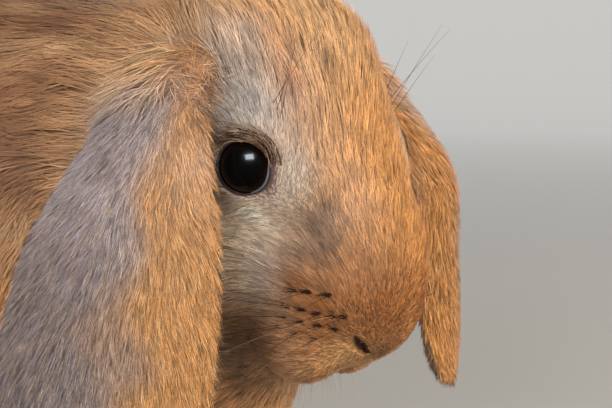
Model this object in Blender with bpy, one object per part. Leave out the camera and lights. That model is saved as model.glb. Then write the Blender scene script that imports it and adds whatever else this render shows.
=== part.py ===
"""A life-size, still French lop rabbit, crouched with its head lowered and its ears hanging.

Metres, +Z up, floor at Z = 0, nose towards -Y. Sizes are written in millimetres and pass through mm().
The origin of the finished model is on the floor, under the middle of its box.
The flesh is one smooth body, described by a few soft-joined ellipsoids and cones. Each node takes the
share of it that lies in its own region, and regions keep a thin gap, so that nodes meet face to face.
"""

from math import ceil, cos, pi, radians, sin

import bmesh
import bpy
import numpy as np
from mathutils import Matrix, Vector


def mm(*values):
    """Millimetres as metres: one number, or a point."""
    return values[0] * 0.001 if len(values) == 1 else np.array(values) * 0.001


# Driving dimensions
GAP = mm(0.3)
RIGHT, LEFT = -1, 1
SIDES = {RIGHT: "right", LEFT: "left"}
HEAD_CENTRE = mm(0, -172, 152)
HEAD_PITCH = radians(52)
HEAD_TURN = radians(6)
EYE_RADIUS = mm(9.4)
EYE_CENTRE = mm(36.5, 2.7, 4.1)
EYE_AXIS = np.array((0.88, 0.32, 0.34))
LID_OPENING = (radians(65), radians(57))
LID_RADIUS = mm(1.8)
NOSTRIL_FROM = mm(0, 54, -13)
NOSTRIL_WAYS = np.array(((0.84, 0.5, 0.26), (0.48, 0.84, 0.06)))
NOSTRIL_RADII = (mm(0.9), mm(1.6), mm(1.9), mm(1.7), mm(0.9))
EAR_ROOT = mm(30, -44, 14)
EAR_WIDTH = mm(88)
EAR_ROOT_WIDTH = mm(34)
EAR_THICKNESS = mm(4.8)
EAR_EDGE_THICKNESS = mm(1.6)
EAR_WIDEST = 0.78

# How the head's own axes lie in the model: side is the rabbit's left, forward runs down the nose.
HEADING = np.array((-sin(HEAD_TURN), -cos(HEAD_TURN), 0))
SIDE_AXIS = np.array((cos(HEAD_TURN), -sin(HEAD_TURN), 0))
UPRIGHT = np.array((0, 0, 1))
FORWARD_AXIS = cos(HEAD_PITCH) * HEADING - sin(HEAD_PITCH) * UPRIGHT
UP_AXIS = sin(HEAD_PITCH) * HEADING + cos(HEAD_PITCH) * UPRIGHT
HEAD_AXES = np.array((SIDE_AXIS, FORWARD_AXIS, UP_AXIS))

# Forms of the head in its own axes (side, forward, up): centre, radii, softness of the join
HEAD_FORMS = (
    (mm(0, -20.6, 0.6), mm(40.5, 45.7, 37.4), mm(1)),
    (mm(0, -6, -15.7), mm(46, 40, 36), mm(12)),
    (mm(0, 15.3, -1.6), mm(27.5, 46.2, 29.4), mm(14)),
    (mm(0, 38.3, -12.8), mm(26, 31, 26.8), mm(12)),
    (mm(0, 20, -44), mm(25, 36, 25.5), mm(12)),
    (mm(0, 56.8, -8.8), mm(13, 10.6, 11.8), mm(8)),
    (mm(0, 42, -45.5), mm(15, 15, 12.7), mm(6)),
)
PAIRED_HEAD_FORMS = (
    (mm(24, -2.7, 7.4), mm(13.6, 25.5, 11), mm(12)),
    (mm(11, 48.2, -29.2), mm(15, 18.2, 15.8), mm(6)),
    (mm(26, 8, -34), mm(18, 26, 20), mm(12)),
    (mm(21.2, -34, 18.6), mm(17, 16, 11.4), mm(16)),
)
NECK = (mm(0, -66, 146), mm(0, -134, 162), mm(63), mm(48), mm(26))

# Forms of the trunk: centre, radii, softness of the join
TRUNK_FORMS = (
    (mm(0, 108, 119), mm(88, 100, 104), mm(1)),
    (mm(0, 32, 112), mm(82, 108, 102), mm(30)),
    (mm(0, -52, 110), mm(70, 76, 92), mm(30)),
    (mm(0, -115, 81), mm(50, 50, 51), mm(26)),
)
SHOULDER = (mm(42, -58, 88), mm(34, 50, 60), mm(20))
HAUNCH = (mm(70, 82, 84), mm(37, 82, 74), mm(14))
KNEE = (mm(78, 18, 54), mm(26, 36, 36), mm(14))
TAIL = (mm(0, 206, 90), mm(26, 27, 40), mm(8))

# Legs: start, end, start radius, end radius, softness of the join
FOREARM = (mm(40, -92, 62), mm(34, -146, 22), mm(22), mm(13), mm(12))
FOREPAW = (mm(34, -146, 13), mm(35, -184, 10.5), mm(13), mm(12), mm(6))
HINDFOOT = (mm(80, 118, 15), mm(84, 2, 11.5), mm(15), mm(13.5), mm(8))
FORE_TOE_RADII = mm(4.9, 11, 8.2)
HIND_TOE_RADII = mm(5.6, 15, 9.4)
TOE_SOFTNESS = mm(2.5)
TOES = (-1.5, -0.5, 0.5, 1.5)
PAW_STEP = {RIGHT: mm(8), LEFT: mm(-2)}

# Ears: the line of the outer ridge from the root, over the crest and down, as (outward, forward, up) steps.
# The flare turns the rear edge outward: shares of the ear's length, and degrees there. The curl is that of
# the rolled root, of the blade where it has opened, at the share EAR_OPENS, and of the tip.
EAR_LINES = {
    RIGHT: (
        mm(0, 0, 0),
        mm(12, -1, -6),
        mm(25, -2, -19),
        mm(38, 0, -37),
        mm(47, -1, -61),
        mm(52, -6, -92),
        mm(53, -10, -124),
        mm(50, -11, -153),
    ),
    LEFT: (
        mm(0, 0, 0),
        mm(14, 3, -4),
        mm(30, 8, -17),
        mm(45, 15, -32),
        mm(57, 22, -54),
        mm(60, 22, -84),
        mm(61, 22, -112),
        mm(58, 22, -135),
    ),
}
EAR_FLARES = {RIGHT: ((0, 0.15, 1), (0, 9.5, 18)), LEFT: ((0, 0.2, 0.6, 1), (0, 66, 55, 55))}
EAR_CURLS = {RIGHT: np.radians((200, 88, 88)), LEFT: np.radians((200, 148, 62))}
EAR_OPENS = 0.35
EAR_STATIONS, EAR_PLACES = 20, 9

# Claws: length, root radius, how far the tip drops
FORE_CLAW = (mm(15), mm(1.9), mm(4))
HIND_CLAW = (mm(19), mm(2.3), mm(4.5))
CLAW_TIP_RADIUS = mm(0.5)

# Regions of the nodes: centre, radii. The head's is a ball whose back passes through the neck.
HEAD_REGION = (mm(0, -200, 165), mm(98, 98, 98))
NECK_REGION = (mm(0, -140, 184), mm(92, 88, 88))
FORELEG_REGION = (mm(40, -126, 26), mm(29, 80, 64))
HAUNCH_REGION = (mm(78, 80, 92), mm(44, 88, 84))
HINDFOOT_REGION = (mm(82, 50, 6), mm(32, 92, 26))
TAIL_REGION = (mm(0, 234, 98), mm(40, 36, 62))
REGION_SEGMENTS, REGION_RINGS = 24, 12


def ellipsoid(points, centre, radii):
    """About the distance from an ellipsoid, negative inside."""
    scaled = (points - centre) / radii + 1e-6
    length = np.linalg.norm(scaled, axis=1)
    slope = np.linalg.norm(scaled / radii, axis=1)
    return length * (length - 1) / slope


def round_cone(points, start, end, start_radius, end_radius):
    """About the distance from a cone with round ends, negative inside."""
    along = end - start
    share = np.clip((points - start) @ along / (along @ along), 0, 1)
    nearest = start + share[:, None] * along
    return np.linalg.norm(points - nearest, axis=1) - start_radius - share * (end_radius - start_radius)


def soft_union(first, second, softness):
    """The nearer of two distances, rounded over where they are alike, as flesh fills a crease."""
    blend = np.clip(0.5 + 0.5 * (second - first) / softness, 0, 1)
    return second + (first - second) * blend - softness * blend * (1 - blend)


def on_side(place, side):
    return place * np.array((side, 1, 1))


def to_head(points):
    return (points - HEAD_CENTRE) @ HEAD_AXES.T


def from_head(place):
    return HEAD_CENTRE + place @ HEAD_AXES


def head_field(points):
    own = to_head(points)
    paired = own * (1, 1, 1)
    paired[:, 0] = np.abs(paired[:, 0])
    field = ellipsoid(own, *HEAD_FORMS[0][:2])
    for centre, radii, softness in HEAD_FORMS[1:]:
        field = soft_union(field, ellipsoid(own, centre, radii), softness)
    for centre, radii, softness in PAIRED_HEAD_FORMS:
        field = soft_union(field, ellipsoid(paired, centre, radii), softness)
    return field


def trunk_field(points):
    paired = points * (1, 1, 1)
    paired[:, 0] = np.abs(paired[:, 0])
    field = ellipsoid(points, *TRUNK_FORMS[0][:2])
    for centre, radii, softness in TRUNK_FORMS[1:]:
        field = soft_union(field, ellipsoid(points, centre, radii), softness)
    for centre, radii, softness in (SHOULDER, HAUNCH, KNEE):
        field = soft_union(field, ellipsoid(paired, centre, radii), softness)
    return soft_union(field, ellipsoid(points, *TAIL[:2]), TAIL[2])


def toe_centres(foot, radii, side, shift):
    """One centre for each toe, in a shallow arc across the end of the foot."""
    end = on_side(foot[1], side) + np.array((0, shift, 0))
    for place in TOES:
        yield end + np.array((place * radii[0] * 1.5, abs(place) * mm(3) - mm(5), mm(-2)))


def leg_field(points, side, limb, foot, toe_radii, shift):
    """A limb, if it shows, the long foot and its four toes."""
    moved = points - np.array((0, shift, 0))
    field = None
    for start, end, start_radius, end_radius, softness in filter(None, (foot, limb)):
        part = round_cone(moved, on_side(start, side), on_side(end, side), start_radius, end_radius)
        field = part if field is None else soft_union(field, part, softness)
    for centre in toe_centres(foot, toe_radii, side, shift):
        field = soft_union(field, ellipsoid(points, centre, toe_radii), TOE_SOFTNESS)
    return field


def flesh_field(points):
    """The whole rabbit but its ears, as a distance that is negative inside."""
    field = trunk_field(points)
    for side in SIDES:
        foreleg = leg_field(points, side, FOREARM, FOREPAW, FORE_TOE_RADII, PAW_STEP[side])
        field = soft_union(field, foreleg, FOREARM[4])
        hindfoot = leg_field(points, side, None, HINDFOOT, HIND_TOE_RADII, 0)
        field = soft_union(field, hindfoot, HINDFOOT[4])
    field = soft_union(field, round_cone(points, *NECK[:4]), NECK[4])
    return soft_union(field, head_field(points), mm(12))


def surface_of(field, low, high, step):
    """Points and four-cornered faces where the field is 0, from a grid of this step."""
    counts = [ceil((b - a) / step) + 1 for a, b in zip(low, high)]
    axes = [low[i] + step * np.arange(counts[i]) for i in range(3)]
    grid = np.stack(np.meshgrid(*axes, indexing="ij"), axis=-1)
    values = field(grid.reshape(-1, 3)).reshape(counts)
    cells = [n - 1 for n in counts]
    corners = [(i, j, k) for i in (0, 1) for j in (0, 1) for k in (0, 1)]
    at = {c: values[tuple(slice(c[a], c[a] + cells[a]) for a in range(3))] for c in corners}
    crossings = np.zeros(cells)
    total = np.zeros((*cells, 3))
    for first in corners:
        for axis in range(3):
            if first[axis]:
                continue
            second = tuple(c + (a == axis) for a, c in enumerate(first))
            crossed = (at[first] < 0) != (at[second] < 0)
            share = np.where(crossed, at[first] / np.where(crossed, at[first] - at[second], 1), 0)
            for a in range(3):
                total[..., a] += crossed * (first[a] + (share if a == axis else 0))
            crossings += crossed
    used = crossings > 0
    number = np.full(cells, -1)
    number[used] = np.arange(used.sum())
    inside_cell = total[used] / crossings[used][:, None]
    points = np.array(low) + step * (np.argwhere(used) + inside_cell)
    faces = []
    for axis in range(3):
        b, c = (axis + 1) % 3, (axis + 2) % 3
        inner = [slice(1, n - 1) for n in counts]
        inner[axis] = slice(0, counts[axis] - 1)
        after = list(inner)
        after[axis] = slice(1, counts[axis])
        near, far = values[tuple(inner)] < 0, values[tuple(after)] < 0
        edges = np.argwhere(near != far)
        leaving = near[near != far]
        edges[:, b] += 1
        edges[:, c] += 1
        ring = []
        for shift_b, shift_c in ((1, 1), (0, 1), (0, 0), (1, 0)):
            cell = edges.copy()
            cell[:, b] -= shift_b
            cell[:, c] -= shift_c
            ring.append(number[tuple(cell.T)])
        ring = np.stack(ring, axis=1)
        ring[~leaving] = ring[~leaving][:, ::-1]
        faces.append(ring)
    return points, np.concatenate(faces)


def add_object(name, points, faces, material=None):
    mesh = bpy.data.meshes.new(name)
    mesh.from_pydata([tuple(p) for p in points], [], [tuple(int(i) for i in f) for f in faces])
    made = bpy.data.objects.new(name, mesh)
    bpy.context.scene.collection.objects.link(made)
    if material:
        mesh.materials.append(material)
    return made


def apply_modifiers(made):
    graph = bpy.context.evaluated_depsgraph_get()
    mesh = bpy.data.meshes.new_from_object(made.evaluated_get(graph))
    made.modifiers.clear()
    made.data = mesh
    return made


def thin_out(made, triangles):
    """Fewer faces, most of them kept where the form turns sharply."""
    now = sum(len(face.vertices) - 2 for face in made.data.polygons)
    if now > triangles:
        modifier = made.modifiers.new("fewer", "DECIMATE")
        modifier.ratio = triangles / now
        apply_modifiers(made)
    return made


def boolean(made, other, operation, solver="EXACT", keep_other=False):
    modifier = made.modifiers.new(operation.lower(), "BOOLEAN")
    modifier.operation = operation
    modifier.solver = solver
    modifier.object = other
    apply_modifiers(made)
    if not keep_other:
        bpy.data.objects.remove(other)
    return made


def keep_largest(made):
    """Drops every closed surface but the largest."""
    shape = bmesh.new()
    shape.from_mesh(made.data)
    left = set(shape.verts)
    islands = []
    while left:
        island, front = set(), [left.pop()]
        while front:
            vert = front.pop()
            island.add(vert)
            joined = {edge.other_vert(vert) for edge in vert.link_edges} & left
            left -= joined
            front += joined
        islands.append(island)
    islands.sort(key=lambda verts: (Vector(np.ptp([v.co for v in verts], axis=0)).length, len(verts)))
    for island in islands[:-1]:
        bmesh.ops.delete(shape, geom=list(island), context="VERTS")
    shape.to_mesh(made.data)
    shape.free()
    return made


def region_object(region, side=LEFT, grown=0.0):
    """The ellipsoid that a node is cut to, or, grown, the one that its neighbour is cut back from."""
    centre, radii = region
    shape = bmesh.new()
    bmesh.ops.create_uvsphere(shape, u_segments=REGION_SEGMENTS, v_segments=REGION_RINGS, radius=1)
    size = Matrix.Diagonal((*(radii + grown), 1))
    bmesh.ops.transform(shape, matrix=Matrix.Translation(on_side(centre, side)) @ size, verts=shape.verts)
    mesh = bpy.data.meshes.new("region")
    shape.to_mesh(mesh)
    shape.free()
    made = bpy.data.objects.new("region", mesh)
    bpy.context.scene.collection.objects.link(made)
    return made


def grown_copy(source, amount):
    """A copy whose skin stands out by this much, to cut a neighbour back from."""
    grown = source.copy()
    grown.data = source.data.copy()
    bpy.context.scene.collection.objects.link(grown)
    places = np.empty(len(grown.data.vertices) * 3)
    grown.data.vertices.foreach_get("co", places)
    normals = np.array([tuple(v.normal) for v in grown.data.vertices])
    moved = places.reshape(-1, 3) + normals * amount
    grown.data.vertices.foreach_set("co", moved.ravel())
    grown.data.update()
    return grown


def floor_cutter():
    """Everything under the floor, so that soles are flat at Z = 0."""
    shape = bmesh.new()
    bmesh.ops.create_cube(shape, size=1.0, matrix=Matrix.Translation((0, 0, -0.5)))
    mesh = bpy.data.meshes.new("floor_cutter")
    shape.to_mesh(mesh)
    shape.free()
    made = bpy.data.objects.new("floor_cutter", mesh)
    bpy.context.scene.collection.objects.link(made)
    return made


def flesh(name, region, side, step, triangles, material, kept_from=(), on_floor=False):
    """The share of the flesh in a region, but what lies in the regions that it is kept from."""
    centre, radii = on_side(region[0], side), region[1]
    reach = mm(6)

    def field(points):
        return np.maximum(flesh_field(points), ellipsoid(points, centre, radii + reach))

    margin = reach + 2 * step
    points, faces = surface_of(field, centre - radii - margin, centre + radii + margin, step)
    made = thin_out(add_object(name, points, faces, material), triangles)
    boolean(made, region_object(region, side), "INTERSECT")
    for other, other_side in kept_from:
        boolean(made, region_object(other, other_side, GAP), "DIFFERENCE")
    if on_floor:
        boolean(made, floor_cutter(), "DIFFERENCE")
    return keep_largest(made)


def swept_tube(name, path, radii, sides=6):
    """A closed tube along a path, with a radius for each of its points."""
    path = [Vector(p) for p in path]
    rings = []
    across = None
    for i, place in enumerate(path):
        along = (path[min(i + 1, len(path) - 1)] - path[max(i - 1, 0)]).normalized()
        guide = across if across else Vector((0.31, 0.17, 0.93))
        across = (guide - along * guide.dot(along)).normalized()
        other = along.cross(across)
        turns = [2 * pi * k / sides for k in range(sides)]
        rings.append([place + (across * cos(t) + other * sin(t)) * radii[i] for t in turns])
    points = [p for ring in rings for p in ring]
    faces = []
    for i in range(len(rings) - 1):
        for k in range(sides):
            a, b = i * sides + k, i * sides + (k + 1) % sides
            faces.append((a, b, b + sides, a + sides))
    faces.append(tuple(range(sides))[::-1])
    faces.append(tuple(len(points) - sides + k for k in range(sides)))
    return add_object(name, points, faces)


def on_skin(start, direction):
    """Where a ray from inside the head meets its surface, in the head's own axes."""
    start, direction = np.array(start), np.array(direction) / np.linalg.norm(direction)
    reaches = np.linspace(0, mm(60), 241)
    places = from_head(start + reaches[:, None] * direction)
    outside = np.argmax(head_field(places) > 0)
    return start + reaches[outside] * direction


def smooth_path(points, count):
    """Points spaced along a smooth curve through the given ones."""
    points = [2 * points[0] - points[1], *points, 2 * points[-1] - points[-2]]
    made = []
    for t in np.linspace(0, len(points) - 3, count):
        i = min(int(t), len(points) - 4)
        u = t - i
        a, b, c, d = points[i : i + 4]
        made.append(
            0.5 * (2 * b + (c - a) * u + (2 * a - 5 * b + 4 * c - d) * u**2 + (3 * b - a - 3 * c + d) * u**3)
        )
    return np.array(made)


def eye_frame(side):
    """The eye's centre, its axis and the two directions across it, forward and up, in the model."""
    axis = on_side(EYE_AXIS, side) @ HEAD_AXES
    axis /= np.linalg.norm(axis)
    up = UP_AXIS - axis * (UP_AXIS @ axis)
    up /= np.linalg.norm(up)
    forward = np.cross(axis, up) * side
    return from_head(on_side(EYE_CENTRE, side)), axis, -forward if forward @ FORWARD_AXIS < 0 else forward, up


def eyeball(name, side, radius, material=None):
    centre, axis = eye_frame(side)[:2]
    shape = bmesh.new()
    bmesh.ops.create_uvsphere(shape, u_segments=20, v_segments=12, radius=radius)
    turn = Vector(axis).to_track_quat("Z", "Y").to_matrix().to_4x4()
    bmesh.ops.transform(shape, matrix=Matrix.Translation(centre) @ turn, verts=shape.verts)
    mesh = bpy.data.meshes.new(name)
    shape.to_mesh(mesh)
    shape.free()
    made = bpy.data.objects.new(name, mesh)
    bpy.context.scene.collection.objects.link(made)
    if material:
        mesh.materials.append(material)
    return made


def lid_ring(side, count=26, sides=7):
    """The rim of both lids: a tube round the opening, resting on the eyeball."""
    centre, axis, forward, up = eye_frame(side)
    wide, high = LID_OPENING
    points, faces = [], []
    for i in range(count):
        t = 2 * pi * i / count
        across = forward * cos(t) + up * sin(t)
        angle = 1 / np.hypot(cos(t) / wide, sin(t) / high)
        outward = axis * cos(angle) + across * sin(angle)
        rest = across * cos(angle) - axis * sin(angle)
        middle = centre + outward * (EYE_RADIUS + LID_RADIUS * 0.45) + rest * LID_RADIUS * 0.5
        for k in range(sides):
            turn = 2 * pi * k / sides
            points.append(middle + LID_RADIUS * (outward * cos(turn) + rest * sin(turn)))
            a, b = (i * sides, (i + 1) % count * sides)
            faces.append((a + k, b + k, b + (k + 1) % sides, a + (k + 1) % sides))
    made = add_object("lid_ring", points, faces)
    return facing_out(made)


def facing_out(made):
    shape = bmesh.new()
    shape.from_mesh(made.data)
    bmesh.ops.recalc_face_normals(shape, faces=shape.faces)
    shape.to_mesh(made.data)
    shape.free()
    return made


def mouth_line():
    """The line of the mouth, round the front of the jaw under both lips."""
    turns = np.radians(np.linspace(-72, 72, 13))
    path = [from_head(on_skin(mm(0, 34, -38), (sin(t), cos(t), -0.05 - 0.12 * abs(sin(t))))) for t in turns]
    radii = [mm(1.2) * cos(t) ** 0.5 for t in turns]
    return facing_out(swept_tube("mouth_line", path, radii))


def lip_cleft():
    """The cleft between the two halves of the upper lip, from the nose to the mouth."""
    turns = np.radians(np.linspace(12, -48, 6))
    path = [from_head(on_skin(mm(0, 44, -22), (0, cos(t), sin(t)))) for t in turns]
    return facing_out(swept_tube("lip_cleft", path, [mm(1.0)] * len(path)))


def nostril(side):
    """A slanting slit, from high at the side of the nose to low near its middle."""
    high, low = (on_side(way, side) for way in NOSTRIL_WAYS)
    ways = [high + (low - high) * share for share in np.linspace(0, 1, len(NOSTRIL_RADII))]
    path = [from_head(on_skin(NOSTRIL_FROM, way)) for way in ways]
    return facing_out(swept_tube("nostril", path, NOSTRIL_RADII))


def make_head(material):
    head = flesh("head", HEAD_REGION, LEFT, mm(2.5), 3600, material)
    for side in SIDES:
        boolean(head, lid_ring(side), "UNION")
        boolean(head, nostril(side), "DIFFERENCE")
    boolean(head, mouth_line(), "DIFFERENCE")
    boolean(head, lip_cleft(), "DIFFERENCE")
    for side in SIDES:
        boolean(head, eyeball("socket", side, EYE_RADIUS + GAP), "DIFFERENCE")
    return keep_largest(head)


def ear_width(share):
    """The ear's width laid flat, from its root (0) to its tip (1)."""
    if share > EAR_WIDEST:
        return EAR_WIDTH * max(1 - ((share - EAR_WIDEST) / (1.02 - EAR_WIDEST)) ** 2, 0) ** 0.5
    rise = sin(pi / 2 * share / EAR_WIDEST)
    return EAR_ROOT_WIDTH + (EAR_WIDTH - EAR_ROOT_WIDTH) * rise**3


def ear_curl(side, share):
    """The angle through which the ear's section bends, from its root (0) to its tip (1)."""
    root, blade, tip = EAR_CURLS[side]
    opened = root + (blade - root) * min(share / EAR_OPENS, 1) ** 0.7
    return opened + (tip - blade) * max(share - EAR_OPENS, 0) / (1 - EAR_OPENS)


def make_ear(name, side, material, neighbours):
    """A leaf of skin and gristle, rolled at its root, open towards the cheek, with a rounded tip."""
    root = from_head(on_side(EAR_ROOT, side))
    level = np.array((SIDE_AXIS * side, HEADING, UPRIGHT))
    line = smooth_path([root + step @ level for step in EAR_LINES[side]], EAR_STATIONS)
    places = np.linspace(-1, 1, EAR_PLACES)
    points, faces = [], []
    for i, middle in enumerate(line):
        share = i / (EAR_STATIONS - 1)
        along = line[min(i + 1, EAR_STATIONS - 1)] - line[max(i - 1, 0)]
        along /= np.linalg.norm(along)
        flare = radians(np.interp(share, *EAR_FLARES[side]))
        back = SIDE_AXIS * side * sin(flare) - HEADING * cos(flare)
        back -= along * (back @ along)
        back /= np.linalg.norm(back)
        outer = np.cross(back, along) * -side
        curl = ear_curl(side, share)
        radius = ear_width(share) / curl
        shell = []
        for place in places:
            angle = place * curl / 2
            normal = outer * cos(angle) + back * sin(angle)
            surface = middle - outer * radius + normal * radius
            thin = EAR_THICKNESS * (1 - 0.45 * share)
            thickness = EAR_EDGE_THICKNESS + (thin - EAR_EDGE_THICKNESS) * (1 - place**4)
            shell.append((surface, surface - normal * min(thickness, radius * 0.6)))
        points += [outside for outside, _ in shell]
        points += [inside for _, inside in shell[::-1]]
    ring = 2 * EAR_PLACES
    for i in range(EAR_STATIONS - 1):
        for k in range(ring):
            a, b = i * ring + k, i * ring + (k + 1) % ring
            faces.append((a, b, b + ring, a + ring))
    faces.append(tuple(range(ring)))
    faces.append(tuple(len(points) - ring + k for k in range(ring)))
    made = facing_out(add_object(name, points, faces, material))
    for neighbour in neighbours:
        boolean(made, grown_copy(neighbour, GAP * 1.3), "DIFFERENCE")
    return keep_largest(made)


def make_claw(name, toe, toe_radii, sizes, material, foot):
    """A curved claw that leaves the front of its toe and bends down to the floor."""
    length, radius, drop = sizes
    start = toe + np.array((0, -0.35 * toe_radii[1], 0.1 * toe_radii[2]))
    path = [start + np.array((0, -length * t, -drop * t * t)) for t in np.linspace(0, 1, 5)]
    radii = [radius + (CLAW_TIP_RADIUS - radius) * t**1.6 for t in np.linspace(0, 1, 5)]
    made = facing_out(swept_tube(name, path, radii))
    made.data.materials.append(material)
    boolean(made, grown_copy(foot, GAP * 1.3), "DIFFERENCE")
    return keep_largest(made)


def centre_over_origin():
    """Moves the whole model over the floor, until the origin is under the middle of its box."""
    made = [thing for thing in bpy.data.objects if thing.type == "MESH"]
    corners = np.array([tuple(vert.co) for thing in made for vert in thing.data.vertices])
    middle = (corners.min(axis=0) + corners.max(axis=0)) / 2
    for thing in made:
        thing.data.transform(Matrix.Translation((-middle[0], -middle[1], 0)))


def principled(name, colour, roughness):
    material = bpy.data.materials.new(name)
    material.use_nodes = True
    shader = material.node_tree.nodes["Principled BSDF"]
    shader.inputs["Base Color"].default_value = (*colour, 1)
    shader.inputs["Roughness"].default_value = roughness
    return material


def main():
    for thing in list(bpy.data.objects):
        bpy.data.objects.remove(thing)
    fawn = principled("fawn_coat", (0.55, 0.33, 0.16), 0.8)
    cream = principled("cream_coat", (0.72, 0.6, 0.45), 0.8)
    horn = principled("claw_horn", (0.16, 0.11, 0.08), 0.4)
    eye_brown = principled("eye", (0.02, 0.012, 0.01), 0.05)

    legs = [(region, side) for region in (FORELEG_REGION, HINDFOOT_REGION, HAUNCH_REGION) for side in SIDES]
    whole = (HEAD_REGION, LEFT)
    head = make_head(fawn)
    neck = flesh("neck", NECK_REGION, LEFT, mm(4), 900, fawn, kept_from=[whole])
    trunk_region = (mm(0, 60, 110), mm(130, 220, 130))
    others = [whole, (NECK_REGION, LEFT), (TAIL_REGION, LEFT), *legs]
    flesh("torso", trunk_region, LEFT, mm(5), 1500, fawn, kept_from=others)
    flesh("tail", TAIL_REGION, LEFT, mm(3.5), 500, cream)
    for side, word in SIDES.items():
        eyeball(f"eye_{word}", side, EYE_RADIUS, eye_brown)
        make_ear(f"ear_{word}", side, fawn, (head, neck))
        foreleg = flesh(
            f"foreleg_{word}", FORELEG_REGION, side, mm(2.5), 1000, fawn, [whole, (NECK_REGION, LEFT)], True
        )
        hindfoot = flesh(f"hindfoot_{word}", HINDFOOT_REGION, side, mm(2.5), 820, fawn, (), True)
        beside_haunch = [(HINDFOOT_REGION, side), (TAIL_REGION, LEFT)]
        flesh(f"haunch_{word}", HAUNCH_REGION, side, mm(4.5), 620, fawn, beside_haunch)
        fore_toes = toe_centres(FOREPAW, FORE_TOE_RADII, side, PAW_STEP[side])
        for number, toe in enumerate(fore_toes, 1):
            make_claw(f"claw_fore_{word}_{number}", toe, FORE_TOE_RADII, FORE_CLAW, horn, foreleg)
        for number, toe in enumerate(toe_centres(HINDFOOT, HIND_TOE_RADII, side, 0), 1):
            make_claw(f"claw_hind_{word}_{number}", toe, HIND_TOE_RADII, HIND_CLAW, horn, hindfoot)
    centre_over_origin()


main()
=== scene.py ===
# %% [markdown]
# # A French lop rabbit, crouched, life-size
# The rabbit stands on a pale floor and is seen from close by its right cheek, so that its face, its near ear
# and a strip of its far ear fill the view. The solids of the body come in as a fixed frame. Everything that
# shows is made here around them: one skin for all the flesh, a coat of small solid tufts, eyes, lids,
# nostrils, whiskers and claws.

from contextlib import contextmanager
from math import ceil, cos, pi, radians, sin

import bmesh
import bpy
import numpy as np
from mathutils import Matrix, Vector
from mathutils.kdtree import KDTree


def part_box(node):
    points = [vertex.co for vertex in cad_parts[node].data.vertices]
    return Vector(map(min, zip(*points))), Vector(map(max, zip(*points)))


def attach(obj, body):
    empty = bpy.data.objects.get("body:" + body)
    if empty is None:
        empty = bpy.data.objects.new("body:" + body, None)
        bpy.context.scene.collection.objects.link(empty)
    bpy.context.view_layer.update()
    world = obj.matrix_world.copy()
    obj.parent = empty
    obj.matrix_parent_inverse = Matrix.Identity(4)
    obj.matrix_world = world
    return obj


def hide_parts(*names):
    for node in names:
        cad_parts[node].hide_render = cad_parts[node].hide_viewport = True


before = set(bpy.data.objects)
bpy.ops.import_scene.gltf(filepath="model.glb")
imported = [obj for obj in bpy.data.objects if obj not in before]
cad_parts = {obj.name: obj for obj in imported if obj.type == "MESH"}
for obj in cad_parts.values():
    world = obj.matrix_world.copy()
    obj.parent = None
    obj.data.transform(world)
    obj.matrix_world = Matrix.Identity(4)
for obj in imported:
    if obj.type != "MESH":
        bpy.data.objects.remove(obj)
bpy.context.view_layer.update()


def mm(*values):
    """Millimetres as metres: one number, or a point."""
    return values[0] * 0.001 if len(values) == 1 else np.array(values) * 0.001


def rise(values, low, high):
    """0 below low, 1 above high, and a smooth step between."""
    t = np.clip((values - low) / (high - low), 0, 1)
    return t * t * (3 - 2 * t)


# %% [markdown]
# ## The body's forms
# A furred animal has no hard edges, so its flesh is written as a distance: how far a point is from the
# surface, negative inside. Ellipsoids and cones with round ends make the forms, and a soft union fills the
# creases between them as muscle and fat do. The head is written in its own axes, because it is pitched down
# and turned a little to the rabbit's right.

# %% Distances
RIGHT, LEFT = -1, 1
SIDES = {RIGHT: "right", LEFT: "left"}


def distance_from(points, place):
    return np.linalg.norm(points - place, axis=1)


def ellipsoid(points, centre, radii):
    scaled = (points - centre) / radii + 1e-6
    length = np.linalg.norm(scaled, axis=1)
    slope = np.linalg.norm(scaled / radii, axis=1)
    return length * (length - 1) / slope


def round_cone(points, start, end, start_radius, end_radius):
    along = end - start
    share = np.clip((points - start) @ along / (along @ along), 0, 1)
    nearest = start + share[:, None] * along
    return distance_from(points, nearest) - start_radius - share * (end_radius - start_radius)


def soft_union(first, second, softness):
    blend = np.clip(0.5 + 0.5 * (second - first) / softness, 0, 1)
    return second + (first - second) * blend - softness * blend * (1 - blend)


def on_side(place, side):
    return place * np.array((side, 1, 1))


# %% The head's own axes
HEAD_CENTRE = mm(0, -172, 152)
HEAD_PITCH = radians(52)
HEAD_TURN = radians(6)
UPRIGHT = np.array((0, 0, 1))
HEADING = np.array((-sin(HEAD_TURN), -cos(HEAD_TURN), 0))
SIDE_AXIS = np.array((cos(HEAD_TURN), -sin(HEAD_TURN), 0))
FORWARD_AXIS = cos(HEAD_PITCH) * HEADING - sin(HEAD_PITCH) * UPRIGHT
UP_AXIS = sin(HEAD_PITCH) * HEADING + cos(HEAD_PITCH) * UPRIGHT
HEAD_AXES = np.array((SIDE_AXIS, FORWARD_AXIS, UP_AXIS))
EYE_RADIUS = mm(9.4)
EYE_CENTRE = mm(36.5, 2.7, 4.1)
EYE_AXIS = np.array((0.88, 0.32, 0.34))


def to_head(points):
    return (points - HEAD_CENTRE) @ HEAD_AXES.T


def from_head(place):
    return HEAD_CENTRE + place @ HEAD_AXES


def eye_frame(side):
    """The eye's centre, its axis, and forward and up across it."""
    axis = on_side(EYE_AXIS, side) @ HEAD_AXES
    axis /= np.linalg.norm(axis)
    up = UP_AXIS - axis * (UP_AXIS @ axis)
    up /= np.linalg.norm(up)
    forward = np.cross(axis, up)
    return from_head(on_side(EYE_CENTRE, side)), axis, forward * np.sign(forward @ FORWARD_AXIS), up


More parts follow.
